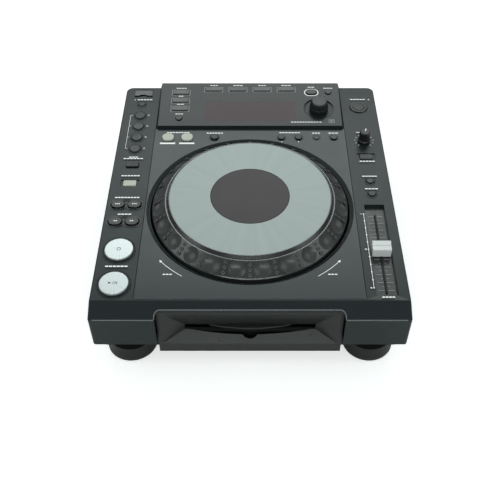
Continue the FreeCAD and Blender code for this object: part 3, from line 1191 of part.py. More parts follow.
def make_jog_base():
    """The fixed cup under the dial, with the tubular post that the dial turns on."""
    floor = CUP_FLOOR_Z
    cup = turned([(0, floor), (JOG_CUP_RADIUS - 4.0, floor), (JOG_CUP_RADIUS, floor + 5.0),
                  (JOG_CUP_RADIUS, DECK_Z - DECK_POCKET), (JOG_CUP_RADIUS - 1.8, DECK_Z - DECK_POCKET),
                  (JOG_CUP_RADIUS - 1.8, floor + 6.0), (JOG_CUP_RADIUS - 5.0, floor + CUP_FLOOR),
                  (0, floor + CUP_FLOOR)], 0, JOG_Y)
    post = drum(0, JOG_Y, floor + 0.5, POST_TOP_Z, HUB_BORE)
    bore = drum(0, JOG_Y, floor - 1, POST_TOP_Z + 1, HUB_BORE - 3.0)
    tools = [bore]
    return cup.fuse(post).cut(tools).removeSplitter()


def make_jog_display():
    """The fixed round display that shows through the dial's lens, on the post's end."""
    disc = turned([(0, DISPLAY_DISC_Z), (DISPLAY_DISC_RADIUS, DISPLAY_DISC_Z),
                   (DISPLAY_DISC_RADIUS, DISPLAY_DISC_Z + 5.0), (DISPLAY_DISC_RADIUS - 1.0,
                                                                 DISPLAY_DISC_Z + 6.0),
                   (0, DISPLAY_DISC_Z + 6.0)], 0, JOG_Y)
    plug = drum(0, JOG_Y, DISPLAY_DISC_Z - 8.0, DISPLAY_DISC_Z + 0.5, HUB_BORE - 3.1)
    return disc.fuse(plug).removeSplitter()


def make_drive_chassis():
    """The drive's plates with its spindle motor, guide rods and their end blocks."""
    y0 = DRIVE_Y0
    y1 = DRIVE_Y0 + DRIVE_LENGTH
    z0 = DRIVE_Z
    z1 = DRIVE_Z + DRIVE_HEIGHT
    roller_y = y0 + ROLLER_FROM_DRIVE
    bearing = rod(-DRIVE_HALF - 1, DRIVE_HALF + 1, roller_y, ROLLER_Z, ROD_RADIUS + RUNNING)
    window = slab(0, (y0 + y1) / 2 + 6, z1 - SHEET - 1, z1 + 1, 96.0, 84.0, 10.0)
    floor = block(-DRIVE_HALF, DRIVE_HALF, y0, y1, z0, z0 + SHEET)
    roof = block(-DRIVE_HALF, DRIVE_HALF, y0, y1, z1 - SHEET, z1).cut(window)
    pieces = [floor, roof]
    for side in (-1, 1):
        x0, x1 = sorted((side * DRIVE_HALF, side * (DRIVE_HALF - SHEET)))
        pieces.append(block(x0, x1, y0, y1, z0 + SHEET, z1 - SHEET).cut(bearing))
    motor = drum(0, SPINDLE_Y, z0 + SHEET, MOTOR_TOP_Z, MOTOR_RADIUS)
    motor = motor.cut(drum(0, SPINDLE_Y, z0 + SHEET + 2, z1, SPINDLE_SHAFT + RUNNING))
    pieces.append(motor)
    rod_x0 = MOTOR_RADIUS - 6.0
    rod_x1 = DRIVE_HALF - SHEET - 1.0
    for side in (-1, 1):
        y = SPINDLE_Y + side * ROD_SPREAD
        pieces.append(rod(rod_x0, rod_x1, y, ROD_Z, ROD_RADIUS))
        for x, width in ((rod_x0 - 5.0, 5.0), (rod_x1 - 3.0, 4.0)):
            end = block(x, x + width, y - 3, y + 3, z0 + SHEET, ROD_Z + 3)
            pieces.append(end.cut(rod(rod_x0, rod_x1, y, ROD_Z, ROD_RADIUS)))
    gearbox = block(-DRIVE_HALF + SHEET, -DRIVE_HALF + SHEET + 16, y0 + 24, y0 + 62, z0 + SHEET,
                    z0 + SHEET + 13)
    pieces.append(gearbox)
    loader = rod(-DRIVE_HALF + SHEET + 18, -DRIVE_HALF + SHEET + 42, y0 + 36, z0 + SHEET + 6.2, 6.0)
    pieces.append(loader)
    return Part.Compound([s for p in pieces for s in p.Solids])


def make_disc_spindle():
    """The turntable, its centring cone and the motor's shaft."""
    hub = turned([(0, TURNTABLE_Z), (TURNTABLE_RADIUS, TURNTABLE_Z), (TURNTABLE_RADIUS, TURNTABLE_Z + 1.8),
                  (7.4, TURNTABLE_Z + 1.8), (7.2, HUB_TOP_Z - 1.2), (5.6, HUB_TOP_Z), (0, HUB_TOP_Z)],
                 0, SPINDLE_Y)
    shaft = drum(0, SPINDLE_Y, DRIVE_Z + SHEET + 2.4, TURNTABLE_Z + 0.5, SPINDLE_SHAFT)
    return hub.fuse(shaft).removeSplitter()


def make_laser_sled():
    """The pickup: a bored carrier on the two rods, with the lens on top."""
    x0 = MOTOR_RADIUS + 1.6
    y_half = ROD_SPREAD + 4.5
    z0 = ROD_Z - SLED_HEIGHT / 2
    body = block(x0, x0 + SLED_LENGTH, SPINDLE_Y - y_half, SPINDLE_Y + y_half, z0, z0 + SLED_HEIGHT)
    bores = [rod(x0 - 1, x0 + SLED_LENGTH + 1, SPINDLE_Y + side * ROD_SPREAD, ROD_Z, ROD_RADIUS + RUNNING)
             for side in (-1, 1)]
    lens_x = x0 + 6.0
    turret = block(lens_x - 5, lens_x + 7, SPINDLE_Y - 9, SPINDLE_Y + 9, z0 + SLED_HEIGHT,
                   z0 + SLED_HEIGHT + 1.4)
    lens = drum(lens_x, SPINDLE_Y, z0 + SLED_HEIGHT + 1.4, z0 + SLED_HEIGHT + 2.2, 2.6)
    return body.fuse([turret, lens]).cut(bores).removeSplitter()


def make_loading_roller():
    """The rubber loading roller, waisted towards its middle, on its steel shaft."""
    y = DRIVE_Y0 + ROLLER_FROM_DRIVE
    half = DRIVE_HALF - SHEET - 3.0
    waist = ROLLER_RADIUS - 1.2
    left = Part.makeCone(ROLLER_RADIUS, waist, half, FreeCAD.Vector(-half, y, ROLLER_Z), FreeCAD.Vector(1,
                                                                                                        0, 0))
    right = Part.makeCone(waist, ROLLER_RADIUS, half, FreeCAD.Vector(0, y, ROLLER_Z), FreeCAD.Vector(1, 0, 0))
    shaft = rod(-DRIVE_HALF, DRIVE_HALF, y, ROLLER_Z, ROD_RADIUS)
    return left.fuse([right, shaft]).removeSplitter()


def make_usb_door():
    """The lid that lies over the memory-stick port, hinged on two pins at its back edge."""
    low = DECK_Z + FLAP_LIFT
    top = low + FLAP_THICKNESS
    plate = block(FLAP_X0, FLAP_X0 + FLAP_WIDTH, FLAP_Y0, FLAP_AXIS_Y, low, top)
    plate = softened(plate, top, 0.4)
    x0 = PORT_X0 + CLEARANCE
    x1 = PORT_X1 - CLEARANCE
    heel = FLAP_AXIS_Y - FLAP_HEEL
    plate = plate.cut([drum(STICK_X, FLAP_Y0 - 7.0, low - 1, top + 1, 9.2),
                       block(FLAP_X0 - 1, x0, heel, FLAP_Y1, low - 1, top + 1),
                       block(x1, FLAP_X0 + FLAP_WIDTH + 1, heel, FLAP_Y1, low - 1, top + 1)])
    arm = block(x0, x1, FLAP_AXIS_Y - FLAP_BARREL, FLAP_AXIS_Y, FLAP_AXIS_Z, low + FLAP_THICKNESS / 2)
    barrel = rod(x0, x1, FLAP_AXIS_Y, FLAP_AXIS_Z, FLAP_BARREL)
    pins = rod(PORT_X0 - 1.3, PORT_X1 + 1.3, FLAP_AXIS_Y, FLAP_AXIS_Z, FLAP_PIN)
    return plate.fuse([arm, barrel, pins]).removeSplitter()


def all_parts():
    """Every node's name with its shape."""
    parts = {
        "top_cover": make_top_cover(),
        "deck_panel": make_deck_panel(),
        "display_panel": make_display_panel(),
        "display_window": make_display_window(),
        "slot_bezel": make_slot_bezel(),
        "bottom_chassis": make_bottom_chassis(),
        "rear_sockets": make_rear_sockets(),
        "feet": make_feet(),
        "foot_pads": make_foot_pads(),
        "case_screws": make_case_screws(),
        "circuit_boards": make_circuit_boards(),
        "panel_boards": make_panel_boards(),
        "drive_chassis": make_drive_chassis(),
        "jog_base": make_jog_base(),
        "jog_display": make_jog_display(),
        "jog_dial": make_jog_dial(),
        "jog_plate": make_jog_plate(),
        "usb_door": make_usb_door(),
        "selector_shaft": make_selector_shaft(),
        "selector_knob": make_selector_knob(),
        "speed_knob": make_speed_knob(),
        "tempo_slider": make_tempo_slider(),
        "power_button": make_power_button(),
        "disc_spindle": make_disc_spindle(),
        "laser_sled": make_laser_sled(),
        "loading_roller": make_loading_roller(),
    }
    for key in left_keys() + right_keys():
        parts[key.name] = key.solid(DECK_Z, UNDER_Z)
    for key in row_keys():
        parts[key.name] = key.solid(DECK_TOP_Z, UNDER_Z)
    for key in face_keys():
        parts[key.name] = tilted(key.solid(0, FACE_UNDER))
    return parts


def main():
    """Writes one STEP file for each node and prints a line on it."""
    os.makedirs("parts", exist_ok=True)
    for name, shape in all_parts().items():
        shape.exportStep(f"parts/{name}.step")
        box = shape.BoundBox
        print(f"{name:24s} solids {len(shape.Solids):3d} valid {shape.isValid()} volume {shape.Volume:11.1f} "
              f"x {box.XMin:7.1f} {box.XMax:7.1f} y {box.YMin:7.1f} {box.YMax:7.1f} "
              f"z {box.ZMin:6.1f} {box.ZMax:6.1f}")


main()
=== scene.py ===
"""Looks of a tabletop disc player with a jog dial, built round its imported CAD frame.

Every place is worked out from the CAD nodes, in metres: +X the player's right, +Y its back, +Z up.
"""

import json
import logging
import math
from dataclasses import dataclass
from enum import Enum
from typing import Callable, Iterable, Sequence

import bmesh
import bpy
from mathutils import Matrix, Vector

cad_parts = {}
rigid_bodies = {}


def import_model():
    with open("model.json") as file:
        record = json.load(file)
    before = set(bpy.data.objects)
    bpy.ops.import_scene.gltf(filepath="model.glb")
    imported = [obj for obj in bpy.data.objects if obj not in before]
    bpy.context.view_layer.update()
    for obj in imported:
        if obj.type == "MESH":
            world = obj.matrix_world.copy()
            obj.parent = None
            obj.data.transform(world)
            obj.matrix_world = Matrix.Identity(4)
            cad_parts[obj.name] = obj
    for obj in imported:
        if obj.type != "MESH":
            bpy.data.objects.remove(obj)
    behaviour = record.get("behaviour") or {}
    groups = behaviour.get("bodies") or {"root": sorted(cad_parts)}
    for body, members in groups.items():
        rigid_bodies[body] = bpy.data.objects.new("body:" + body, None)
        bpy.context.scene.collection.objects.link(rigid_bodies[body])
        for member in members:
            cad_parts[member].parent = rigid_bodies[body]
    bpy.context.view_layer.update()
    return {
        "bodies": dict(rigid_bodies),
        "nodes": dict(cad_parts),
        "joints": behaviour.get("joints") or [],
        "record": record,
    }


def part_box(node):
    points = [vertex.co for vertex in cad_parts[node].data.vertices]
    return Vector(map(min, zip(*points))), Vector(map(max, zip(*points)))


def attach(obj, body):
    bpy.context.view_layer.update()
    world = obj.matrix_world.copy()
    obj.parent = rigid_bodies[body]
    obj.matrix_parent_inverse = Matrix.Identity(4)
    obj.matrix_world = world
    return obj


LOG = logging.getLogger("scene")
MM = 0.001
MM_PER_METRE = 1000
PRINT_LIFT = 0.04 * MM
MERGE_DISTANCE = 1e-7
SHARP_ANGLE = math.radians(35)
CORNER_STEPS = 6
BEAD_SIDES = 8

Colour = tuple[float, float, float]
Point = tuple[float, float]


class Pattern(Enum):
    """What runs through a finish's surface."""

    GRAIN = "grain"
    RADIAL_BRUSH = "radial_brush"
    LINEAR_BRUSH = "linear_brush"
    SMOOTH = "smooth"


@dataclass(frozen=True)
class Finish:
    """One surface finish.

    Args:
        name: The material's name.
        colour: Linear base colour.
        roughness: Middle roughness.
        metallic: Metalness.
        pattern: What runs through the surface.
        scale: Pattern repeats per metre.
        bump: Height of the pattern, in metres.
        spread: How far roughness wanders about its middle.
        mottle: How far the colour wanders, as a share of it.
        coat: Weight of a clear coat.
        glow: Emission strength in the base colour.
        sheen: Specular level.
    """

    name: str
    colour: Colour
    roughness: float = 0.45
    metallic: float = 0.0
    pattern: Pattern = Pattern.GRAIN
    scale: float = 2600.0
    bump: float = 0.00003
    spread: float = 0.08
    mottle: float = 0.06
    coat: float = 0.0
    glow: float = 0.0
    sheen: float = 0.5


class Finishes:
    """The player's finishes."""

    CASE = Finish("case_grey", (0.015, 0.021, 0.023), 0.36, bump=0.00003, scale=2400, sheen=0.36, spread=0.02)
    DECK = Finish("deck_grey", (0.015, 0.021, 0.023), 0.30, bump=0.00002, scale=2600, sheen=0.45, spread=0.02)
    BEZEL = Finish("bezel_grey", (0.020, 0.022, 0.021), 0.34, bump=0.00002, coat=0.15)
    VISOR = Finish("visor_smoke", (0.10, 0.10, 0.105), 0.25, coat=0.4, pattern=Pattern.SMOOTH)
    SMOKE = Finish("smoked_panel", (0.011, 0.013, 0.014), 0.24,
                   pattern=Pattern.SMOOTH, spread=0.02, sheen=0.3)
    TUBE = Finish("tube_tint", (0.042, 0.014, 0.020), 0.24, pattern=Pattern.SMOOTH, sheen=0.26, spread=0.02)
    LENS = Finish("lens_smoke", (0.044, 0.032, 0.036), 0.40, pattern=Pattern.SMOOTH, sheen=0.35, spread=0.02)
    CHASSIS = Finish("chassis_black", (0.012, 0.012, 0.013), 0.55, bump=0.00005, scale=1800)
    SOCKET = Finish("socket_black", (0.010, 0.010, 0.011), 0.5)
    FOOT = Finish("foot_black", (0.012, 0.012, 0.012), 0.42, bump=0.00005, scale=1800)
    RUBBER = Finish("pad_rubber", (0.014, 0.014, 0.014), 0.8, bump=0.00008, scale=1200)
    SCREW = Finish("screw_steel", (0.30, 0.30, 0.31), 0.35, 0.9, bump=0.00001)
    BOARD = Finish("board_green", (0.010, 0.075, 0.035), 0.45)
    STEEL = Finish("drive_steel", (0.48, 0.49, 0.50), 0.32, 0.95, Pattern.LINEAR_BRUSH, 900, 0.00001)
    BLACK = Finish("jog_black", (0.008, 0.008, 0.009), 0.5)
    SCREEN = Finish("jog_screen", (0.012, 0.010, 0.014), 0.2, pattern=Pattern.SMOOTH, coat=0.5)
    DIAL = Finish("dial_smoke", (0.024, 0.027, 0.027), 0.26, bump=0.00002, coat=0.3, sheen=0.6)
    DOT = Finish("dial_dot", (0.070, 0.072, 0.070), 0.30, bump=0.00001, coat=0.2)
    PLATE = Finish("plate_silver", (0.38, 0.43, 0.425), 0.46, 0.25,
                   Pattern.RADIAL_BRUSH, 1500, 0.000008, 0.05, 0.03)
    RIM = Finish("plate_rim", (0.012, 0.013, 0.013), 0.28, bump=0.00001, spread=0.04, coat=0.3)
    FLAP = Finish("flap_black", (0.014, 0.014, 0.016), 0.28, coat=0.3)
    KNOB = Finish("knob_grey", (0.016, 0.017, 0.018), 0.40, bump=0.00004, coat=0.1)
    KNOB_DARK = Finish("knob_black", (0.010, 0.010, 0.011), 0.40, bump=0.00004, coat=0.1)
    CAP = Finish("cap_silver", (0.93, 0.94, 0.93), 0.28, 0.0,
                 Pattern.LINEAR_BRUSH, 700, 0.00001, 0.05, 0.03, coat=0.5)
    # The silver keys' colour swings widely along rays from their centres: bright and dark sectors that are
    # painted reflections.
    KEY_SILVER = Finish("key_silver", (0.62, 0.67, 0.67), 0.30, 0.45,
                        Pattern.RADIAL_BRUSH, 900, 0.00001, 0.06, 0.45)
    KEY_PEARL = Finish("key_gloss", (0.007, 0.008, 0.008), 0.16, bump=0.00001, coat=0.05, sheen=0.3)
    KEY_WHITE = Finish("key_cream", (0.60, 0.62, 0.53), 0.40, bump=0.00001)
    KEY_BLACK = Finish("key_black", (0.008, 0.009, 0.009), 0.30, coat=0.05, sheen=0.35)
    KEY_GREY = Finish("key_grey", (0.009, 0.011, 0.012), 0.26, coat=0.05, sheen=0.35)
    KEY_SMOKE = Finish("key_smoke", (0.016, 0.018, 0.019), 0.30, coat=0.15)
    ROLLER = Finish("roller_rubber", (0.02, 0.02, 0.021), 0.75)
    DRIVE = Finish("drive_plastic", (0.03, 0.03, 0.031), 0.5)
    # The white and grey print glow a little: painted light that lifts them above what the lamps give.
    PRINT = Finish("print_white", (0.88, 0.90, 0.90), 0.55, pattern=Pattern.SMOOTH, mottle=0.02, glow=0.3)
    PRINT_DIM = Finish("print_grey", (0.42, 0.44, 0.44), 0.5, pattern=Pattern.SMOOTH, mottle=0.02, glow=0.05)
    PRINT_DARK = Finish("print_dark", (0.05, 0.05, 0.052), 0.5, pattern=Pattern.SMOOTH, mottle=0.02)
    # Near-black rings and bars laid in the gaps round keys, at the lens's edge and in the slider's slit:
    # painted shade.
    GAP_SHADE = Finish("painted_gap_shade", (0.004, 0.004, 0.005), 0.6, pattern=Pattern.SMOOTH, mottle=0.0)
    CHIP = Finish("chip_black", (0.012, 0.012, 0.013), 0.4)
    # Lighter than the dial: the dimples' colour is a painted sheen for the light they catch.
    DIMPLE = Finish("dial_dimple", (0.052, 0.055, 0.053), 0.34, bump=0.00001, coat=0.15)
    # Lighter than the case, on beads along the nose's edge and round the dial: a painted highlight on rounded
    # edges.
    EDGE_HIGHLIGHT = Finish("edge_sheen", (0.20, 0.215, 0.212), 0.22, 0.3, bump=0.00001, coat=0.4)
    RED = Finish("collar_red", (0.42, 0.02, 0.02), 0.4)
    WHITE = Finish("collar_white", (0.60, 0.60, 0.58), 0.4)
    ORANGE = Finish("collar_orange", (0.55, 0.20, 0.02), 0.4)


def add_node(tree: bpy.types.NodeTree, kind: str, values: dict[str, object] | None = None):
    """Adds a shader node and sets its inputs by their names."""
    node = tree.nodes.new(f"ShaderNode{kind}")
    for label, value in (values or {}).items():
        node.inputs[label].default_value = value
    return node


def join(tree: bpy.types.NodeTree, *pairs: tuple) -> None:
    """Links pairs of an output and an input."""
    for source, target in pairs:
        tree.links.new(source, target)


class SharedGroups:
    """The shader node groups that every finish shares. They output values only."""

    FINE_NOISE = {"Detail": 3.0}
    BROAD_NOISE = {"Scale": 38.0, "Detail": 5.0, "Roughness": 0.65}
    RING_NOISE = {"Detail": 2.0}
    RAY_NOISE = {"Scale": 9.0, "Detail": 6.0, "Roughness": 0.7}

    def __init__(self) -> None:
        self.grain = self._grain()
        self.radial = self._radial()

    @staticmethod
    def _new(name: str, *outputs: str):
        """Makes an empty group from a vector and a scale to the named values."""
        tree = bpy.data.node_groups.new(name, "ShaderNodeTree")
        tree.interface.new_socket(name="Vector", in_out="INPUT", socket_type="NodeSocketVector")
        tree.interface.new_socket(name="Scale", in_out="INPUT", socket_type="NodeSocketFloat")
        for label in outputs:
            tree.interface.new_socket(name=label, in_out="OUTPUT", socket_type="NodeSocketFloat")
        return tree, tree.nodes.new("NodeGroupInput"), tree.nodes.new("NodeGroupOutput")

    def _grain(self):
        """Two noises: a fine one for the surface's height, a broad one for its wander."""
        tree, source, sink = self._new("fine_grain", "Height", "Wander")
        fine = add_node(tree, "TexNoise", self.FINE_NOISE)
        broad = add_node(tree, "TexNoise", self.BROAD_NOISE)
        join(
            tree,
            (source.outputs["Vector"], fine.inputs["Vector"]),
            (source.outputs["Scale"], fine.inputs["Scale"]),
            (source.outputs["Vector"], broad.inputs["Vector"]),
            (fine.outputs["Fac"], sink.inputs["Height"]),
            (broad.outputs["Fac"], sink.inputs["Wander"]),
        )
        return tree

    def _radial(self):
        """Streaks that run round a centre, as a lathe leaves them, and rays that run out from it."""
        tree, source, sink = self._new("radial_brush", "Rings", "Rays")
        split = add_node(tree, "SeparateXYZ")
        angle = add_node(tree, "Math")
        angle.operation = "ARCTAN2"
        length = add_node(tree, "VectorMath")
        length.operation = "LENGTH"
        rings_at = add_node(tree, "CombineXYZ")
        rings = add_node(tree, "TexNoise", self.RING_NOISE)
        rays_at = add_node(tree, "CombineXYZ")
        rays = add_node(tree, "TexNoise", self.RAY_NOISE)
        join(
            tree,
            (source.outputs["Vector"], split.inputs[0]),
            (source.outputs["Vector"], length.inputs[0]),
            (split.outputs["Y"], angle.inputs[0]),
            (split.outputs["X"], angle.inputs[1]),
            (length.outputs["Value"], rings_at.inputs["X"]),
            (rings_at.outputs[0], rings.inputs["Vector"]),
            (source.outputs["Scale"], rings.inputs["Scale"]),
            (angle.outputs[0], rays_at.inputs["X"]),
            (rays_at.outputs[0], rays.inputs["Vector"]),
            (rings.outputs["Fac"], sink.inputs["Rings"]),
            (rays.outputs["Fac"], sink.inputs["Rays"]),
        )
        return tree


class MaterialLibrary:
    """Makes each finish's material once and hands it out."""

    COAT_ROUGHNESS = 0.15
    BRUSH_STRETCH = (0.04, 1.0, 1.0)
    WANDER_LOW = 0.3
    WANDER_HIGH = 0.7
    ROUGHNESS_LOW = 0.02
    ROUGHNESS_HIGH = 1.0

    def __init__(self) -> None:
        self._groups = SharedGroups()
        self._made: dict[str, bpy.types.Material] = {}

    def get(self, finish: Finish, centre: Vector | None = None) -> bpy.types.Material:
        """The material of a finish. Each centre of a radial brush has its own material."""
        name = finish.name
        if centre is not None:
            name = f"{finish.name}_{round(centre.x * MM_PER_METRE)}_{round(centre.y * MM_PER_METRE)}"
        if name not in self._made:
            self._made[name] = self._build(name, finish, centre or Vector())
        return self._made[name]

    def _build(self, name: str, finish: Finish, centre: Vector) -> bpy.types.Material:
        """Builds the shader tree of one finish round a centre."""
        material = bpy.data.materials.new(name)
        material.use_nodes = True
        tree = material.node_tree
        tree.nodes.clear()
        surface = add_node(tree, "BsdfPrincipled", {
            "Base Color": (*finish.colour, 1.0),
            "Roughness": finish.roughness,
            "Metallic": finish.metallic,
            "Coat Weight": finish.coat,
            "Coat Roughness": self.COAT_ROUGHNESS,
            "Specular IOR Level": finish.sheen,
        })
        output = add_node(tree, "OutputMaterial")
        join(tree, (surface.outputs["BSDF"], output.inputs["Surface"]))
        if finish.glow > 0:
            surface.inputs["Emission Color"].default_value = (*finish.colour, 1.0)
            surface.inputs["Emission Strength"].default_value = finish.glow
        height, wander = self._pattern(tree, finish, centre)
        self._roughness(tree, surface, finish, wander)
        if finish.mottle > 0:
            self._tone(tree, surface, finish, wander)
        if finish.bump > 0 and finish.pattern is not Pattern.SMOOTH:
            bump = add_node(tree, "Bump", {"Distance": finish.bump, "Strength": 1.0})
            join(tree, (height, bump.inputs["Height"]), (bump.outputs["Normal"], surface.inputs["Normal"]))
        return material

    def _pattern(self, tree, finish: Finish, centre: Vector):
        """Adds the pattern nodes and returns their height output and their wander output."""
        place = add_node(tree, "TexCoord")
        shift = add_node(tree, "Mapping", {"Location": -centre})
        if finish.pattern is Pattern.LINEAR_BRUSH:
            shift.inputs["Scale"].default_value = self.BRUSH_STRETCH
        group = add_node(tree, "Group")
        radial = finish.pattern is Pattern.RADIAL_BRUSH
        group.node_tree = self._groups.radial if radial else self._groups.grain
        group.inputs["Scale"].default_value = finish.scale
        join(
            tree,
            (place.outputs["Object"], shift.inputs["Vector"]),
            (shift.outputs["Vector"], group.inputs["Vector"]),
        )
        return group.outputs[0], group.outputs[1]

    def _roughness(self, tree, surface, finish: Finish, wander) -> None:
        """Lets the roughness wander about its middle."""
        span = add_node(tree, "MapRange", {
            "From Min": self.WANDER_LOW,
            "From Max": self.WANDER_HIGH,
            "To Min": max(finish.roughness - finish.spread, self.ROUGHNESS_LOW),
            "To Max": min(finish.roughness + finish.spread, self.ROUGHNESS_HIGH),
        })
        join(tree, (wander, span.inputs["Value"]), (span.outputs["Result"], surface.inputs["Roughness"]))

    @staticmethod
    def _tone(tree, surface, finish: Finish, wander) -> None:
        """Lets the base colour wander with the pattern: a little for most finishes, widely along the rays on
        the silver keys, where the swing is painted reflection.
        """
        mix = add_node(tree, "Mix")
        mix.data_type = "RGBA"
        for label, change in (("A", -finish.mottle), ("B", finish.mottle)):
            mix.inputs[label].default_value = (*(c * (1 + change) for c in finish.colour), 1.0)
        join(tree, (wander, mix.inputs["Factor"]), (mix.outputs["Result"], surface.inputs["Base Color"]))


@dataclass
class Spot:
    """The box of one CAD node."""

    low: Vector
    high: Vector

    @classmethod
    def of(cls, node: str) -> "Spot":
        """The box of a node."""
        low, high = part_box(node)
        return cls(low, high)

    @property
    def centre(self) -> Vector:
        """The middle of the box."""
        return (self.low + self.high) / 2

    @property
    def x(self) -> float:
        """The middle along X."""
        return self.centre.x

    @property
    def y(self) -> float:
        """The middle along Y."""
        return self.centre.y

    @property
    def half_width(self) -> float:
        """Half the box's size along X."""
        return (self.high.x - self.low.x) / 2


@dataclass
class Layout:
    """Places that several sub-assemblies share, all read from the frame."""

    WINDOW_THICKNESS = 1.2 * MM

    deck_z: float
    panel_z: float
    front_y: float
    jog: Vector
    face: Matrix
    face_length: float

    @classmethod
    def read(cls) -> "Layout":
        """Reads the layout from the CAD nodes."""
        cover = Spot.of("top_cover")
        dial = Spot.of("jog_dial")
        window = Spot.of("display_window")
        rise = window.high.z - window.low.z
        run = window.high.y - window.low.y
        tilt = math.atan2(rise - cls.WINDOW_THICKNESS, run)
        corner = Matrix.Translation((0, window.low.y, window.low.z + cls.WINDOW_THICKNESS))
        return cls(
            deck_z=cover.high.z,
            panel_z=Spot.of("deck_panel").high.z,
            front_y=cover.low.y,
            jog=Vector((dial.x, dial.y, 0)),
            face=corner @ Matrix.Rotation(tilt, 4, "X"),
            face_length=run / math.cos(tilt),
        )


def on_circle(x: float, y: float, radius: float, angle: float) -> Point:
    """The point of a circle at an angle in radians."""
    return x + radius * math.cos(angle), y + radius * math.sin(angle)


def turned(points: Sequence[Point], x: float, y: float, angle: float) -> list[Point]:
    """Points turned about the origin by an angle in radians and then moved."""
    c, s = math.cos(angle), math.sin(angle)
    return [(x + a * c - b * s, y + a * s + b * c) for a, b in points]


def rounded_outline(x: float, y: float, width: float, height: float, corner: float) -> list[Point]:
    """The corners of a rounded rectangle about its centre, anticlockwise."""
    corner = min(corner, width / 2, height / 2)
    points = []
    for quarter in range(4):
        across = (width / 2 - corner) * (1 if quarter in (0, 3) else -1)
        along = (height / 2 - corner) * (1 if quarter in (0, 1) else -1)
        for n in range(CORNER_STEPS + 1):
            angle = math.pi / 2 * (quarter + n / CORNER_STEPS)
            points.append(on_circle(x + across, y + along, corner, angle))
    return points


class Sheet:
    """Collects flat printed shapes into one mesh, a hair above a plane.

    Every x and y is a shape's centre, width is along X and height along Y, all in metres. Angles are in
    radians.
    """

    ARC_STEPS = 24
    LEAST_ARC_STEPS = 6
    WIDE_ARC = 20 * MM
    DOT_STEPS = 20
    DASH_PITCH = 3.4 * MM
    DASH_GAP = 0.6 * MM
    LEAST_CORNER = 0.02 * MM

    def __init__(self, place: Matrix | None = None) -> None:
        self._bm = bmesh.new()
        self._place = place or Matrix()

    def polygon(self, points: Iterable[Point]) -> None:
        """Adds a polygon with its corners on the plane."""
        verts = [self._bm.verts.new((x, y, 0)) for x, y in points]
        bmesh.ops.contextual_create(self._bm, geom=verts)

    def bar(self, x: float, y: float, width: float, height: float, turn: float = 0.0) -> None:
        """Adds a rectangle that is turned about its centre."""
        a, b = width / 2, height / 2
        self.polygon(turned([(-a, -b), (a, -b), (a, b), (-a, b)], x, y, turn))

    def words(self, x: float, y: float, width: float, height: float = 1.2 * MM) -> None:
        """Adds a row of short dashes in place of a label."""
        count = max(1, round(width / self.DASH_PITCH))
        dash = (width - self.DASH_GAP * (count - 1)) / count
        for n in range(count):
            self.bar(x - width / 2 + dash / 2 + n * (dash + self.DASH_GAP), y, dash, height)

    def arc(self, x: float, y: float, inner: float, outer: float,
            start: float = 0.0, end: float = math.tau) -> None:
        """Adds a ring between two radii, or a part of one."""
        fineness = 2 if outer > self.WIDE_ARC else 1
        steps = max(self.LEAST_ARC_STEPS, round(self.ARC_STEPS * abs(end - start) / math.tau * fineness))
        for n in range(steps):
            a = start + (end - start) * n / steps
            b = start + (end - start) * (n + 1) / steps
            self.polygon([on_circle(x, y, r, angle)
                          for r, angle in ((inner, a), (outer, a), (outer, b), (inner, b))])

    def dot(self, x: float, y: float, radius: float) -> None:
        """Adds a filled circle."""
        self.polygon([on_circle(x, y, radius, math.tau * n / self.DOT_STEPS) for n in range(self.DOT_STEPS)])

    def arrow(self, x: float, y: float, size: float, heading: float) -> None:
        """Adds a triangle that points along a heading."""
        half = size / 2
        self.polygon(turned([(half, 0), (-half, half), (-half, -half)], x, y, heading))

    def rounded(self, x: float, y: float, width: float, height: float, corner: float) -> None:
        """Adds a filled rounded rectangle."""
        self.polygon(rounded_outline(x, y, width, height, corner))

    def band(self, x: float, y: float, width: float, height: float, corner: float, line: float) -> None:
        """Adds a rounded rectangular ring, line wide inwards."""
        outer = rounded_outline(x, y, width, height, corner)
        tight = max(corner - line, self.LEAST_CORNER)
        inner = rounded_outline(x, y, width - 2 * line, height - 2 * line, tight)
        for n in range(len(outer)):
            m = (n + 1) % len(outer)
            self.polygon([outer[n], outer[m], inner[m], inner[n]])

    def piece(self, name: str, z: float, material: bpy.types.Material, body: str, lift: float) -> None:
        """Turns what was collected into a piece on a body, a lift above the plane at z."""
        move = self._place @ Matrix.Translation((0, 0, z + lift))
        bmesh.ops.transform(self._bm, matrix=move, verts=self._bm.verts)
        bmesh.ops.recalc_face_normals(self._bm, faces=self._bm.faces)
        place_mesh(self._bm, name, material, body)


def place_mesh(bm, name: str, material: bpy.types.Material, body: str, smooth: bool = False) -> None:
    """Makes an object from a bmesh, which it frees, and lets it ride on a body."""
    mesh = bpy.data.meshes.new(name)
    bm.to_mesh(mesh)
    bm.free()
    mesh.materials.append(material)
    if smooth:
        mesh.shade_smooth()
        mesh.set_sharp_from_angle(angle=SHARP_ANGLE)
    obj = bpy.data.objects.new(name, mesh)
    bpy.context.scene.collection.objects.link(obj)
    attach(obj, body)


def lathe(profile: Sequence[Point], centre: Vector, steps: int):
    """A closed section of radius and height pairs, turned about an upright axis, as a new bmesh."""
    bm = bmesh.new()
    verts = [bm.verts.new((r, 0, z)) for r, z in profile]
    edges = [bm.edges.new((verts[n], verts[(n + 1) % len(verts)])) for n in range(len(verts))]
    bmesh.ops.spin(bm, geom=verts + edges, cent=(0, 0, 0), axis=(0, 0, 1), angle=math.tau, steps=steps,
                   use_merge=True)
    bmesh.ops.remove_doubles(bm, verts=bm.verts, dist=MERGE_DISTANCE)
    bmesh.ops.translate(bm, verts=bm.verts, vec=(centre.x, centre.y, 0))
    bmesh.ops.recalc_face_normals(bm, faces=bm.faces)
    return bm


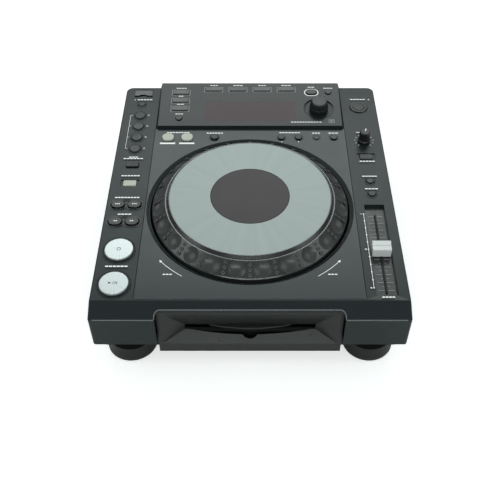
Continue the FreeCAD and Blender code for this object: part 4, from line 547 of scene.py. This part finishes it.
def bead(path: Sequence[Vector], radius: float):
    """A round bead along a path, as a new bmesh."""
    bm = bmesh.new()
    loops = []
    for n, point in enumerate(path):
        along = (path[min(n + 1, len(path) - 1)] - path[max(n - 1, 0)]).normalized()
        frame = along.to_track_quat("Z", "Y").to_matrix()
        corners = [on_circle(0, 0, radius, math.tau * k / BEAD_SIDES) for k in range(BEAD_SIDES)]
        loops.append([bm.verts.new(point + frame @ Vector((a, b, 0))) for a, b in corners])
    for first, second in zip(loops, loops[1:]):
        for k in range(BEAD_SIDES):
            m = (k + 1) % BEAD_SIDES
            bm.faces.new((first[k], first[m], second[m], second[k]))
    for loop in (loops[0], loops[-1]):
        bm.faces.new(loop)
    bmesh.ops.recalc_face_normals(bm, faces=bm.faces)
    return bm


@dataclass
class SubAssembly:
    """A group of pieces with the library and layout that it draws on."""

    library: MaterialLibrary
    layout: Layout
    nodes: dict[str, bpy.types.Object]

    def paint(self, finish: Finish, *names: str, centre: Vector | None = None) -> None:
        """Gives CAD nodes one finish; centre is the middle of a radial brush."""
        for name in names:
            mesh = self.nodes[name].data
            mesh.materials.clear()
            mesh.materials.append(self.library.get(finish, centre))

    def shape(self, bm, name: str, finish: Finish, body: str) -> None:
        """Turns a bmesh into a smooth piece of one finish on a body."""
        place_mesh(bm, name, self.library.get(finish), body, smooth=True)

    def lay(self, sheet: Sheet, name: str, z: float, finish: Finish, body: str = "base",
            lift: float = PRINT_LIFT) -> None:
        """Turns a sheet into a piece of one finish on a body, a lift above the plane at z."""
        sheet.piece(name, z, self.library.get(finish), body, lift)

    def paint_part(self, name: str, finish: Finish, chosen: Callable[[Vector], bool]) -> None:
        """Gives a finish to the faces of a CAD node whose centres are chosen."""
        mesh = self.nodes[name].data
        mesh.materials.append(self.library.get(finish))
        index = len(mesh.materials) - 1
        for polygon in mesh.polygons:
            if chosen(polygon.center):
                polygon.material_index = index


@dataclass
class CaseShell(SubAssembly):
    """The case, its feet, the bezel and everything plain."""

    PLAIN = (
        (Finishes.CASE, "top_cover", "display_panel"),
        (Finishes.DECK, "deck_panel"),
        (Finishes.BEZEL, "slot_bezel"),
        (Finishes.CHASSIS, "bottom_chassis"),
        (Finishes.SOCKET, "rear_sockets", "power_button"),
        (Finishes.FOOT, "feet"),
        (Finishes.RUBBER, "foot_pads"),
        (Finishes.SCREW, "case_screws"),
        (Finishes.BOARD, "circuit_boards", "panel_boards"),
        (Finishes.STEEL, "drive_chassis", "selector_shaft"),
        (Finishes.DRIVE, "disc_spindle", "laser_sled"),
        (Finishes.ROLLER, "loading_roller"),
        (Finishes.FLAP, "usb_door"),
    )
    VISOR_DROP = 33.5 * MM
    VISOR_HEIGHT = 6 * MM
    VISOR_HALF = 40.5 * MM
    VISOR_DEPTH = 11.9 * MM

    CHIP_LIFT = 1.7 * MM
    PANEL_BOARD_FROM = 15.2 * MM
    PANEL_BOARD_TO = 12.0 * MM
    TALLEST_BAND = 0.5 * MM

    COLLARS = (
        ("left_collar", -103, Finishes.WHITE),
        ("right_collar", -83, Finishes.RED),
        ("digital_collar", -58, Finishes.ORANGE),
    )
    COLLAR_Z = 57 * MM
    COLLAR_INNER = 4.25 * MM
    COLLAR_OUTER = 5.5 * MM
    COLLAR_FROM_REAR = 11.4 * MM

    NOSE_DEPTH = 18.5 * MM
    NOSE_DROP = 8.0 * MM
    RECESS_HALF = 90.0 * MM
    RECESS_SETBACK = 9.2 * MM
    RECESS_CORNER = 5.0 * MM
    RECESS_STEPS = 6
    BEAD_RADIUS = 0.6 * MM
    BEAD_SINK = 0.4 * MM
    BEAD_FROM_SIDE = 4.5 * MM

    def build(self) -> None:
        """Paints the case's nodes and adds the bead on the nose, coloured lighter as a painted highlight."""
        for finish, *names in self.PLAIN:
            self.paint(finish, *names)
        self._inside()
        self._nose_edge()
        bezel = Spot.of("slot_bezel")
        roof = bezel.high.z - self.VISOR_DROP
        self.paint_part("slot_bezel", Finishes.VISOR,
                        lambda c: abs(c.x) < self.VISOR_HALF and roof - self.VISOR_HEIGHT < c.z < roof
                        and c.y < bezel.low.y + self.VISOR_DEPTH)

    def _nose_edge(self) -> None:
        """Adds a thin bead along the nose's front edge and into the slot's recess, lighter than the case as a
        painted highlight.
        """
        front = self.layout.front_y
        half = -Spot.of("top_cover").low.x

        def on_nose(x: float, back: float) -> Vector:
            """A point just under the nose's slope, a way behind the front."""
            lift = self.layout.deck_z - self.NOSE_DROP * (1 - back / self.NOSE_DEPTH)
            return Vector((x, front + back + self.BEAD_SINK, lift - self.BEAD_SINK))

        side, setback, corner = self.RECESS_HALF, self.RECESS_SETBACK, self.RECESS_CORNER
        # Two points close together turn the bead sharply into the recess.
        right = [
            on_nose(half - self.BEAD_FROM_SIDE, 0.0),
            on_nose(side + 1.0 * MM, 0.0),
            on_nose(side + 0.3 * MM, 0.6 * MM),
            on_nose(side, setback - corner),
        ]
        for n in range(1, self.RECESS_STEPS + 1):
            turn = math.pi / 2 * n / self.RECESS_STEPS
            across, back = corner * (1 - math.cos(turn)), corner * (1 - math.sin(turn))
            right.append(on_nose(side - across, setback - back))
        left = [Vector((-p.x, p.y, p.z)) for p in reversed(right)]
        self.shape(bead(right + left, self.BEAD_RADIUS), "nose_edge_highlight", Finishes.EDGE_HIGHLIGHT, "base")

    def _inside(self) -> None:
        """Gives the chips, the top of the tallest part and the rear sockets' collars their finishes."""
        main = Spot.of("circuit_boards")
        board_from = self.layout.panel_z - self.PANEL_BOARD_FROM
        board_to = self.layout.panel_z - self.PANEL_BOARD_TO
        for name in ("circuit_boards", "panel_boards"):
            self.paint_part(name, Finishes.CHIP,
                            lambda c: c.z > main.low.z + self.CHIP_LIFT and not board_from < c.z < board_to)
        self.paint_part("circuit_boards", Finishes.STEEL, lambda c: c.z > main.high.z - self.TALLEST_BAND)
        rear_y = Spot.of("rear_sockets").high.y - self.COLLAR_FROM_REAR
        wall = Matrix(((-1, 0, 0, 0), (0, 0, 1, rear_y), (0, 1, 0, 0), (0, 0, 0, 1)))
        for name, x, finish in self.COLLARS:
            sheet = Sheet(wall)
            sheet.arc(-x * MM, self.COLLAR_Z, self.COLLAR_INNER, self.COLLAR_OUTER)
            self.lay(sheet, name, 0, finish)


@dataclass
class JogWheel(SubAssembly):
    """The dial, its dots, its touch plate and the display under the lens."""

    DIMPLES = 24
    LENS_RADIUS = 41.2 * MM
    PLATE_RIM = 2.6 * MM
    DIMPLE_RING = 95.6 * MM
    DIMPLE_ACROSS = 7.0 * MM
    DIMPLE_ALONG = 8.3 * MM

    LIP_SIDES = 10
    LIP_STEPS = 160
    LIP_SINK = 0.6

    RIM_INSET = 0.8 * MM
    RIM_LIFT = 1.9 * MM
    TOP_RADIUS = 88.7 * MM
    TOP_DROP = 0.4 * MM
    DOT_SHARES = (0.14, 0.47, 0.80)
    DOT_RADIUS = 2.2
    DOT_SHRINK = 0.4
    RING_FLATNESS = 0.24
    HEART_SIZE = 0.62
    HEART_FLATNESS = 0.46

    def build(self) -> None:
        """Paints the dial and plate, with painted sheen in the dimples; adds the dots and the lips of painted
        highlight.
        """
        jog = self.layout.jog
        plate = Spot.of("jog_plate")
        self.paint(Finishes.BLACK, "jog_base")
        self.paint(Finishes.SCREEN, "jog_display")
        self.paint(Finishes.DIAL, "jog_dial")
        self.paint(Finishes.PLATE, "jog_plate", centre=jog)
        self.paint_part("jog_plate", Finishes.RIM,
                        lambda c: (c - jog).xy.length > plate.half_width - self.PLATE_RIM)
        self.paint_part("jog_plate", Finishes.LENS, lambda c: (c - jog).xy.length < self.LENS_RADIUS)
        # A dark ring at the lens's edge: painted shade.
        edge = Sheet()
        edge.arc(jog.x, jog.y, self.LENS_RADIUS - 0.5 * MM, self.LENS_RADIUS + 0.3 * MM)
        self.lay(edge, "lens_edge", plate.high.z, Finishes.GAP_SHADE, "jog")
        # The dimples are painted lighter than the rest of the dial, a painted sheen.
        self.paint_part("jog_dial", Finishes.DIMPLE, self._in_dimple)
        self._lip("dial_lip_highlight", Spot.of("jog_dial").high.z, 88.4 * MM, 0.55 * MM)
        self._lip("plate_lip_highlight", plate.high.z, 84.6 * MM, 0.25 * MM)
        self._dots()

    def _in_dimple(self, point: Vector) -> bool:
        """Whether a face of the dial lies in one of its finger dimples."""
        flat = (point - self.layout.jog).xy
        step = math.tau / self.DIMPLES
        turn = (math.atan2(flat.y, flat.x) % step) - step / 2
        across = (flat.length - self.DIMPLE_RING) / self.DIMPLE_ACROSS
        along = turn * self.DIMPLE_RING / self.DIMPLE_ALONG
        return across ** 2 + along ** 2 < 1.0

    def _lip(self, name: str, top: float, radius: float, size: float) -> None:
        """Adds a bead of a given size round the dial's axis, just below a height, lighter than the dial as a
        painted highlight.
        """
        middle = top - size * self.LIP_SINK
        sides = self.LIP_SIDES
        section = [on_circle(radius, middle, size, math.tau * k / sides) for k in range(sides)]
        self.shape(lathe(section, self.layout.jog, self.LIP_STEPS), name, Finishes.EDGE_HIGHLIGHT, "jog")

    def _dots(self) -> None:
        """Adds the three ringed dots between neighbouring dimples."""
        dial = Spot.of("jog_dial")
        rim_radius = dial.half_width - self.RIM_INSET
        rim_z = self.layout.deck_z + self.RIM_LIFT
        top_z = dial.high.z - self.TOP_DROP
        slope = math.atan2(top_z - rim_z, rim_radius - self.TOP_RADIUS)
        lean = Matrix.Rotation(slope, 4, "Y")
        rings = bmesh.new()
        hearts = bmesh.new()
        for n in range(self.DIMPLES):
            spin = Matrix.Rotation(math.tau * n / self.DIMPLES - math.pi / 2, 4, "Z")
            for share in self.DOT_SHARES:
                radius = rim_radius + (self.TOP_RADIUS - rim_radius) * share
                height = rim_z + (top_z - rim_z) * share
                size = (self.DOT_RADIUS - self.DOT_SHRINK * share) * MM
                move = Matrix.Translation(self.layout.jog) @ spin
                move = move @ Matrix.Translation((radius, 0, height)) @ lean
                for bm, part, flat in ((rings, 1.0, self.RING_FLATNESS),
                                       (hearts, self.HEART_SIZE, self.HEART_FLATNESS)):
                    bmesh.ops.create_uvsphere(bm, u_segments=16, v_segments=8, radius=size * part,
                                              matrix=move @ Matrix.Diagonal((1, 1, flat, 1)))
        self.shape(rings, "dial_dots", Finishes.DOT, "jog")
        self.shape(hearts, "dial_dot_hearts", Finishes.RIM, "jog")


def numbered(stem: str, count: int) -> list[str]:
    """The names of nodes that are counted from one."""
    return [f"{stem}_{n}" for n in range(1, count + 1)]


@dataclass
class Keys(SubAssembly):
    """The finishes of the keys, their signs, the trim round them and the painted shade in the gaps round
    them.
    """

    PAINTED = (
        (Finishes.KEY_PEARL, "search_back_button", "search_forward_button", "track_back_button",
         "track_forward_button"),
        (Finishes.KEY_WHITE, "direction_button", "loop_in_button", "loop_out_button"),
        (Finishes.KEY_BLACK, "jog_mode_button", "eject_button", "beat_select_button", "usb_stop_button"),
        (Finishes.KEY_SMOKE, *numbered("menu_button", 4), *numbered("source_button", 3)),
        (Finishes.KEY_GREY, "back_button", *numbered("beat_loop_button", 4), "reloop_button",
         "call_back_button", "call_forward_button", "delete_button", "memory_button", "time_mode_button",
         "tag_track_button", "tempo_range_button", "master_tempo_button"),
    )
    DECK_ROUND = (*numbered("beat_loop_button", 4), "tempo_range_button", "master_tempo_button",
                  "usb_stop_button")
    ROW_ROUND = ("reloop_button", "call_back_button", "call_forward_button", "delete_button", "memory_button")

    BIG_COLLAR = 1.4 * MM
    BIG_GAP_FROM = 0.1 * MM
    BIG_GAP_TO = 1.0 * MM
    BIG_GAP_LIFT = 0.6 * MM
    SMALL_GAP_FROM = 0.05 * MM
    SMALL_GAP_TO = 0.7 * MM
    EJECT_COLLAR = 11.2 * MM
    COLLAR_DEPTH = 1.0 * MM
    RIM_MARGIN = 1.6 * MM
    RIM_LINE = 0.35 * MM

    def build(self) -> None:
        """Paints the keys and adds their signs and collars, and dark rings of painted shade in their gaps."""
        for name in ("play_button", "cue_button"):
            key = Spot.of(name)
            # The key's colour fans into bright and dark sectors round its centre: painted reflections.
            self.paint(Finishes.KEY_SILVER, name, centre=Vector((key.x, key.y, 0)))
            # A dark ring in the gap round the key: painted shade.
            gap = Sheet()
            gap.arc(key.x, key.y, key.half_width + self.BIG_GAP_FROM, key.half_width + self.BIG_GAP_TO)
            self.lay(gap, f"{name}_gap", self.layout.deck_z + self.BIG_GAP_LIFT, Finishes.GAP_SHADE)
            self._collar(key, key.half_width + self.BIG_COLLAR, key.low.z)
        for finish, *names in self.PAINTED:
            self.paint(finish, *names)
        self._signs()
        self._collar(Spot.of("eject_button"), self.EJECT_COLLAR, self.layout.deck_z - self.COLLAR_DEPTH)
        # Dark rings in the gaps round the small keys: painted shade.
        for piece, names, z in (("key_gap_shade", self.DECK_ROUND, self.layout.deck_z),
                                ("row_gap_shade", self.ROW_ROUND, self.layout.panel_z)):
            edge = Sheet()
            for name in names:
                key = Spot.of(name)
                half = key.half_width
                edge.arc(key.x, key.y, half + self.SMALL_GAP_FROM, half + self.SMALL_GAP_TO)
            self.lay(edge, piece, z, Finishes.GAP_SHADE)

    def _collar(self, key: Spot, radius: float, bottom: float) -> None:
        """Blackens the cover round a key, out to a radius and above a height."""
        self.paint_part("top_cover", Finishes.KEY_BLACK,
                        lambda c: (c - key.centre).xy.length < radius and c.z > bottom)

    def _signs(self) -> None:
        """Prints the usual transport signs on the keys."""
        play = Spot.of("play_button")
        sheet = Sheet()
        sheet.arrow(play.x - 3.6 * MM, play.y, 3.0 * MM, 0)
        sheet.bar(play.x - 0.4 * MM, play.y, 0.5 * MM, 3.6 * MM, -0.35)
        for side in (1.6, 3.2):
            sheet.bar(play.x + side * MM, play.y, 0.8 * MM, 3.0 * MM)
        self.lay(sheet, "play_sign", play.high.z, Finishes.PRINT_DARK, "play_button")
        cue = Spot.of("cue_button")
        sheet = Sheet()
        sheet.arc(cue.x, cue.y, 1.5 * MM, 2.1 * MM)
        self.lay(sheet, "cue_sign", cue.high.z, Finishes.PRINT_DARK, "cue_button")
        rims = Sheet()
        for kind in ("search", "track"):
            for end, heading in (("back", math.pi), ("forward", 0.0)):
                node = f"{kind}_{end}_button"
                key = Spot.of(node)
                sheet = Sheet()
                for step in (-1.1, 1.1):
                    sheet.arrow(key.x + step * MM, key.y, 2.0 * MM, heading)
                if kind == "track":
                    sheet.bar(key.x + math.cos(heading) * 2.5 * MM, key.y, 0.5 * MM, 2.0 * MM)
                self.lay(sheet, f"{node}_sign", key.high.z, Finishes.PRINT, node)
                wide = key.high.x - key.low.x + self.RIM_MARGIN
                deep = key.high.y - key.low.y
                rims.band(key.x, key.y, wide, deep + self.RIM_MARGIN, deep / 2, self.RIM_LINE)
        self.lay(rims, "search_rims", self.layout.deck_z, Finishes.DOT)


@dataclass
class Display(SubAssembly):
    """The display's tilted face: tube, rims round its keys, labels and badge."""

    MENU_PITCH = 29.4
    SOURCE_X = -83.4
    SOURCE_PITCH = 14.4
    BACK_X = 74.4
    RIM_CORNER = 0.6 * MM
    RIM_LINE = 0.7 * MM
    BADGE = (96.0, 8.0)

    @staticmethod
    def at(x: float, up: float) -> Point:
        """A place on the face in metres, from millimetres across and up from its front edge."""
        return x * MM, up * MM

    def build(self) -> None:
        """Paints the face and adds its marks and rims."""
        self.paint(Finishes.SMOKE, "display_window")
        self.paint(Finishes.KNOB, "selector_knob")
        face = self.layout.face
        top = self.layout.face_length / MM
        tube = Sheet(face)
        tube.rounded(*self.at(0, 31.0), 108 * MM, 45 * MM, self.RIM_CORNER)
        self.lay(tube, "tube_tint", 0, Finishes.TUBE, lift=0.02 * MM)
        rims = Sheet(face)
        for n in range(4):
            rims.band(*self.at((n - 1.5) * self.MENU_PITCH, top - 12.0), 22.6 * MM, 9.4 * MM,
                      self.RIM_CORNER, self.RIM_LINE)
        for n in range(3):
            rims.band(*self.at(self.SOURCE_X, top - 17.5 - n * self.SOURCE_PITCH), 22 * MM, 10 * MM,
                      self.RIM_CORNER, self.RIM_LINE)
        self.lay(rims, "key_rims", 0, Finishes.PRINT_DIM, lift=0.05 * MM)
        back = Sheet(face)
        back.band(*self.at(self.BACK_X, top - 17.4), 17.4 * MM, 12.6 * MM, 6.3 * MM, 1.1 * MM)
        self.lay(back, "back_ring", 0, Finishes.PRINT, lift=0.06 * MM)
        self._labels(face, top)

    def _labels(self, face: Matrix, top: float) -> None:
        """Adds dashes in place of the labels, and the badge; top is the face's length in millimetres."""
        sheet = Sheet(face)
        for n in range(4):
            sheet.words(*self.at((n - 1.5) * self.MENU_PITCH, top - 4.6), (9 + 2.4 * (n % 2)) * MM)
        for n, width in enumerate((12.0, 5.6, 8.4)):
            sheet.words(*self.at(self.SOURCE_X, top - 9.8 - n * self.SOURCE_PITCH), width * MM)
        for x, up, width in ((-83.8, 20.4, 9.0), (self.BACK_X, top - 7.8, 8.0), (95.0, top - 9.6, 11.0),
                             (66.0, 6.4, 36.0)):
            sheet.words(*self.at(x, up), width * MM)
        self.lay(sheet, "face_labels", 0, Finishes.PRINT)
        x, up = self.BADGE
        badge = Sheet(face)
        badge.band(*self.at(x, up), 7.0 * MM, 6.0 * MM, 0.8 * MM, 0.5 * MM)
        for step in (-1.2, 0.0, 1.2):
            badge.bar(*self.at(x, up + step), 4.0 * MM, 0.6 * MM)
        self.lay(badge, "face_badge", 0, Finishes.PRINT_DIM)


@dataclass
class Slider(SubAssembly):
    """The tempo slider with its scale."""

    WELL_HALF_WIDTH = 10.6 * MM
    WELL_HALF_LENGTH = 62 * MM
    WELL_DEPTH = 4.0 * MM
    TRAVEL = 100 * MM
    TICK_FROM = 1.9 * MM
    LINE_FROM = 12.6 * MM
    ENDS_FROM = 15.2 * MM

    def build(self) -> None:
        """Paints the slider and prints its scale."""
        self.paint(Finishes.CAP, "tempo_slider")
        cap = Spot.of("tempo_slider")
        deck = self.layout.deck_z
        self.paint_part("top_cover", Finishes.BEZEL,
                        lambda c: abs(c.x - cap.x) < self.WELL_HALF_WIDTH
                        and abs(c.y - cap.y) < self.WELL_HALF_LENGTH and c.z < deck - 0.5 * MM)
        floor = deck - self.WELL_DEPTH
        ticks = Sheet()
        for n in range(-10, 11):
            length = (5.6 if n % 2 == 0 else 1.8) * MM
            for side in (-1, 1):
                x = cap.x + side * (self.TICK_FROM + length / 2)
                ticks.bar(x, cap.y + n * 5.0 * MM, length, 0.3 * MM)
        self.lay(ticks, "slider_ticks", floor, Finishes.PRINT_DIM)
        x, ends = cap.x - self.LINE_FROM, cap.x - self.ENDS_FROM
        front, rear = cap.y - self.TRAVEL / 2, cap.y + self.TRAVEL / 2
        line = Sheet()
        line.bar(x, cap.y, 0.5 * MM, self.TRAVEL)
        for n in range(-5, 6):
            line.dot(x, cap.y + n * 10 * MM, 0.7 * MM)
        line.bar(ends, rear, 2.2 * MM, 0.5 * MM)
        line.bar(ends, front, 2.2 * MM, 0.5 * MM)
        line.bar(ends, front, 0.5 * MM, 2.2 * MM)
        line.arc(ends, cap.y, 0.6 * MM, 1.1 * MM)
        self.lay(line, "slider_scale", deck, Finishes.PRINT)
        # A dark bar on the well's floor for the slit: painted shade.
        slit = Sheet()
        slit.bar(cap.x, cap.y, 1.9 * MM, 105.4 * MM)
        self.lay(slit, "slider_slit", floor, Finishes.GAP_SHADE, lift=0.02 * MM)
        mark = Sheet()
        mark.bar(cap.x, cap.y + 0.9 * MM, 18.4 * MM, 0.7 * MM)
        self.lay(mark, "slider_line", cap.high.z - 1.9 * MM, Finishes.PRINT_DARK, "tempo_slider")


@dataclass
class Knobs(SubAssembly):
    """The speed knob with its pointer and ticks."""

    REST_TURN = 17
    SWEEP = 280
    TICKS = 11
    TICK_RADIUS = 10.4 * MM
    POINTER_RADIUS = 3.0 * MM

    def build(self) -> None:
        """Paints the knob, and adds its pointer and its ring of ticks."""
        self.paint(Finishes.KNOB_DARK, "speed_knob")
        knob = Spot.of("speed_knob")
        turn = math.radians(90 - self.REST_TURN)
        pointer = Sheet()
        pointer.bar(*on_circle(knob.x, knob.y, self.POINTER_RADIUS, turn), 4.4 * MM, 1.1 * MM, turn)
        self.lay(pointer, "speed_pointer", knob.high.z, Finishes.PRINT, "speed_knob")
        ticks = Sheet()
        for n in range(self.TICKS):
            a = math.radians(90 + self.SWEEP / 2 - self.SWEEP / (self.TICKS - 1) * n)
            ticks.bar(*on_circle(knob.x, knob.y, self.TICK_RADIUS, a), 1.8 * MM, 0.45 * MM, a)
        ticks.words(knob.x, knob.y + 15.0 * MM, 15 * MM)
        self.lay(ticks, "speed_ticks", self.layout.deck_z, Finishes.PRINT)


def label(sheet: Sheet, node: str, up: float, width: float, height: float = 1.5) -> None:
    """Adds the dashes of a key's label, up millimetres behind its middle; sizes in millimetres."""
    key = Spot.of(node)
    sheet.words(key.x, key.y + up * MM, width * MM, height * MM)


@dataclass
class DeckPrint(SubAssembly):
    """The dashes, lines and signs printed on the deck."""

    ARC_RADIUS = 118.0 * MM
    ARC_LINE = 0.6 * MM
    ARC_LABEL_OUT = 7 * MM

    def build(self) -> None:
        """Prints the marks of both columns and of the deck panel."""
        self._left()
        self._right()
        self._arcs()
        self._row()

    def _left(self) -> None:
        """Prints the left column's marks."""
        sheet = Sheet()
        play = Spot.of("play_button")
        sheet.words(play.x, (play.y + Spot.of("cue_button").y) / 2, 22 * MM, 1.7 * MM)
        for kind, width in (("search", 14), ("track", 26)):
            left = Spot.of(f"{kind}_back_button")
            right = Spot.of(f"{kind}_forward_button")
            sheet.words((left.x + right.x) / 2, left.y + 10.4 * MM, width * MM, 1.6 * MM)
        label(sheet, "direction_button", 10.4, 20, 1.6)
        label(sheet, "beat_select_button", 9.4, 22)
        label(sheet, "beat_select_button", 11.8, 10)
        low = Spot.of("beat_loop_button_4")
        high = Spot.of("beat_loop_button_1")
        x = low.x - 11.0 * MM
        sheet.bar(x, (low.y + high.y) / 2, 0.4 * MM, high.y - low.y)
        for node in numbered("beat_loop_button", 4):
            key = Spot.of(node)
            sheet.bar(x + 1.2 * MM, key.y, 2.4 * MM, 0.4 * MM)
            sheet.bar(key.x + 10.4 * MM, key.y + 0.9 * MM, 2.2 * MM, 0.5 * MM)
            sheet.bar(key.x + 10.4 * MM, key.y - 0.9 * MM, 2.2 * MM, 0.5 * MM)
        stop = Spot.of("usb_stop_button")
        sheet.words(stop.x + 3.0 * MM, stop.y + 8.0 * MM, 18 * MM, 1.5 * MM)
        sheet.arrow(stop.x - 9.0 * MM, stop.y + 8.0 * MM, 1.8 * MM, math.pi / 2)
        self.lay(sheet, "left_marks", self.layout.deck_z, Finishes.PRINT)

    def _right(self) -> None:
        """Prints the right column's marks."""
        sheet = Sheet()
        label(sheet, "master_tempo_button", 7.0, 14)
        label(sheet, "tempo_range_button", 7.0, 16)
        label(sheet, "jog_mode_button", -9.6, 17)
        label(sheet, "eject_button", 14.6, 18)
        eject = Spot.of("eject_button")
        sheet.arrow(eject.x + 13.4 * MM, eject.y + 14.8 * MM, 1.8 * MM, math.pi / 2)
        sheet.bar(eject.x + 13.4 * MM, eject.y + 13.3 * MM, 1.8 * MM, 0.4 * MM)
        sheet.words(Spot.of("tempo_slider").x, self.layout.front_y + 21.6 * MM, 12 * MM, 1.5 * MM)
        self.lay(sheet, "right_marks", self.layout.deck_z, Finishes.PRINT)

    def _arcs(self) -> None:
        """Prints an arc with an arrow and a label on either side in front of the dial."""
        jog = self.layout.jog
        sheet = Sheet()
        for side in (-1, 1):
            start, middle, end = (math.radians(-90 + side * degrees) for degrees in (34, 40, 48.5))
            sheet.arc(jog.x, jog.y, self.ARC_RADIUS, self.ARC_RADIUS + self.ARC_LINE, min(start, end),
                      max(start, end))
            sheet.arrow(*on_circle(jog.x, jog.y, self.ARC_RADIUS + self.ARC_LINE / 2, end), 3.0 * MM,
                        end + side * math.pi / 2)
            place = on_circle(jog.x, jog.y, self.ARC_RADIUS + self.ARC_LABEL_OUT, middle)
            sheet.words(*place, 9 * MM, 1.3 * MM)
        self.lay(sheet, "panel_arcs", self.layout.panel_z, Finishes.PRINT)

    def _row(self) -> None:
        """Prints the plates, labels and arrows of the key row."""
        plates = Sheet()
        for node in ("loop_in_button", "loop_out_button"):
            key = Spot.of(node)
            plates.rounded(key.x, key.y - 9.8 * MM, 17.6 * MM, 2.6 * MM, 0.4 * MM)
        self.lay(plates, "row_plates", self.layout.panel_z, Finishes.PRINT)
        names = Sheet()
        loop = Spot.of("loop_in_button")
        names.words(loop.x + 11 * MM, loop.y + 9.6 * MM, 26 * MM, 1.5 * MM)
        for node, width in (("reloop_button", 19), ("delete_button", 9), ("memory_button", 11)):
            label(names, node, 8.6, width)
        back = Spot.of("call_back_button")
        ahead = Spot.of("call_forward_button")
        names.words((back.x + ahead.x) / 2, back.y + 9.4 * MM, 24 * MM, 1.4 * MM)
        for key, heading in ((back, math.pi), (ahead, 0.0)):
            names.arrow(key.x, key.y - 7.2 * MM, 1.8 * MM, heading)
        self.lay(names, "row_labels", self.layout.panel_z, Finishes.PRINT)


@dataclass
class Studio:
    """The floor, the lights, the backdrop and the camera."""

    LIGHT_TINT = (0.93, 1, 0.985)
    WORLD_STRENGTH = 0.25
    FLOOR_COLOUR = (0.93, 0.93, 0.93, 1)
    FLOOR_LIFT = 0.55
    FOCAL_MM = 54.64
    SENSOR_MM = 36.0
    PITCH_DEG = 47.58
    STAND_OFF = 0.4295
    HEIGHT = 0.5597
    BOXES = (
        ("back_box", (0.05, 1.5, 1.48), (0, 0.05, 0.08), (1.7, 0.8), 13),
        ("left_box", (-1.3, -0.2, 1.2), (0, 0, 0.08), (0.9, 0.9), 4.0),
        ("right_box", (1.3, -0.3, 1.2), (0, 0, 0.08), (0.9, 0.9), 3.6),
        ("front_box", (0.0, -1.5, 1.2), (0, -0.1, 0.05), (1.8, 0.35), 9),
    )

    layout: Layout

    def build(self) -> None:
        """Sets up the floor, the backdrop, the soft boxes, the camera and the view's colours."""
        self._floor()
        self._world()
        for box in self.BOXES:
            self._area(*box)
        self._camera()
        bpy.context.scene.view_settings.view_transform = "Standard"

    def _floor(self) -> None:
        """Adds a pale floor that the camera sees a little brighter than it lights."""
        bm = bmesh.new()
        bmesh.ops.create_grid(bm, x_segments=1, y_segments=1, size=6.0)
        mesh = bpy.data.meshes.new("floor")
        bm.to_mesh(mesh)
        bm.free()
        material = bpy.data.materials.new("floor_white")
        material.use_nodes = True
        tree = material.node_tree
        surface = tree.nodes["Principled BSDF"]
        surface.inputs["Base Color"].default_value = self.FLOOR_COLOUR
        surface.inputs["Roughness"].default_value = 0.9
        surface.inputs["Emission Color"].default_value = (1, 1, 1, 1)
        path = add_node(tree, "LightPath")
        lift = add_node(tree, "Math")
        lift.operation = "MULTIPLY"
        lift.inputs[1].default_value = self.FLOOR_LIFT
        join(
            tree,
            (path.outputs["Is Camera Ray"], lift.inputs[0]),
            (lift.outputs[0], surface.inputs["Emission Strength"]),
        )
        mesh.materials.append(material)
        floor = bpy.data.objects.new("floor", mesh)
        bpy.context.scene.collection.objects.link(floor)

    def _world(self) -> None:
        """Adds a backdrop that is white to the camera and lights softly."""
        world = bpy.data.worlds.new("backdrop")
        bpy.context.scene.world = world
        world.use_nodes = True
        tree = world.node_tree
        tree.nodes.clear()
        seen = add_node(tree, "Background", {"Color": (1, 1, 1, 1), "Strength": 1.0})
        lit = add_node(tree, "Background", {"Color": (*self.LIGHT_TINT, 1), "Strength": self.WORLD_STRENGTH})
        path = add_node(tree, "LightPath")
        mix = add_node(tree, "MixShader")
        output = add_node(tree, "OutputWorld")
        join(
            tree,
            (path.outputs["Is Camera Ray"], mix.inputs[0]),
            (lit.outputs[0], mix.inputs[1]),
            (seen.outputs[0], mix.inputs[2]),
            (mix.outputs[0], output.inputs["Surface"]),
        )

    def _area(self, name: str, place: tuple[float, float, float], target: tuple[float, float, float],
              size: tuple[float, float], power: float) -> None:
        """Hangs one soft box that faces a target; its power is in watts."""
        light = bpy.data.lights.new(name, "AREA")
        light.shape = "RECTANGLE"
        light.size, light.size_y = size
        light.energy = power
        light.color = self.LIGHT_TINT
        obj = bpy.data.objects.new(name, light)
        obj.location = place
        aim = Vector(target) - Vector(place)
        obj.rotation_euler = aim.to_track_quat("-Z", "Y").to_euler()
        bpy.context.scene.collection.objects.link(obj)

    def _camera(self) -> None:
        """Places the camera where the photo's was."""
        data = bpy.data.cameras.new("camera")
        data.lens = self.FOCAL_MM
        data.sensor_width = self.SENSOR_MM
        obj = bpy.data.objects.new("camera", data)
        obj.location = (0.0, self.layout.front_y - self.STAND_OFF, self.layout.deck_z + self.HEIGHT)
        obj.rotation_euler = (math.radians(90 - self.PITCH_DEG), 0, 0)
        bpy.context.scene.collection.objects.link(obj)
        bpy.context.scene.camera = obj


def main() -> None:
    """Builds the whole scene."""
    logging.basicConfig(level=logging.INFO)
    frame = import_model()
    library = MaterialLibrary()
    layout = Layout.read()
    for part in (CaseShell, JogWheel, Keys, Display, Slider, Knobs, DeckPrint):
        part(library, layout, frame["nodes"]).build()
        LOG.info("built %s", part.__name__)
    Studio(layout).build()
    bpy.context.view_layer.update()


if __name__ == "__main__":
    main()
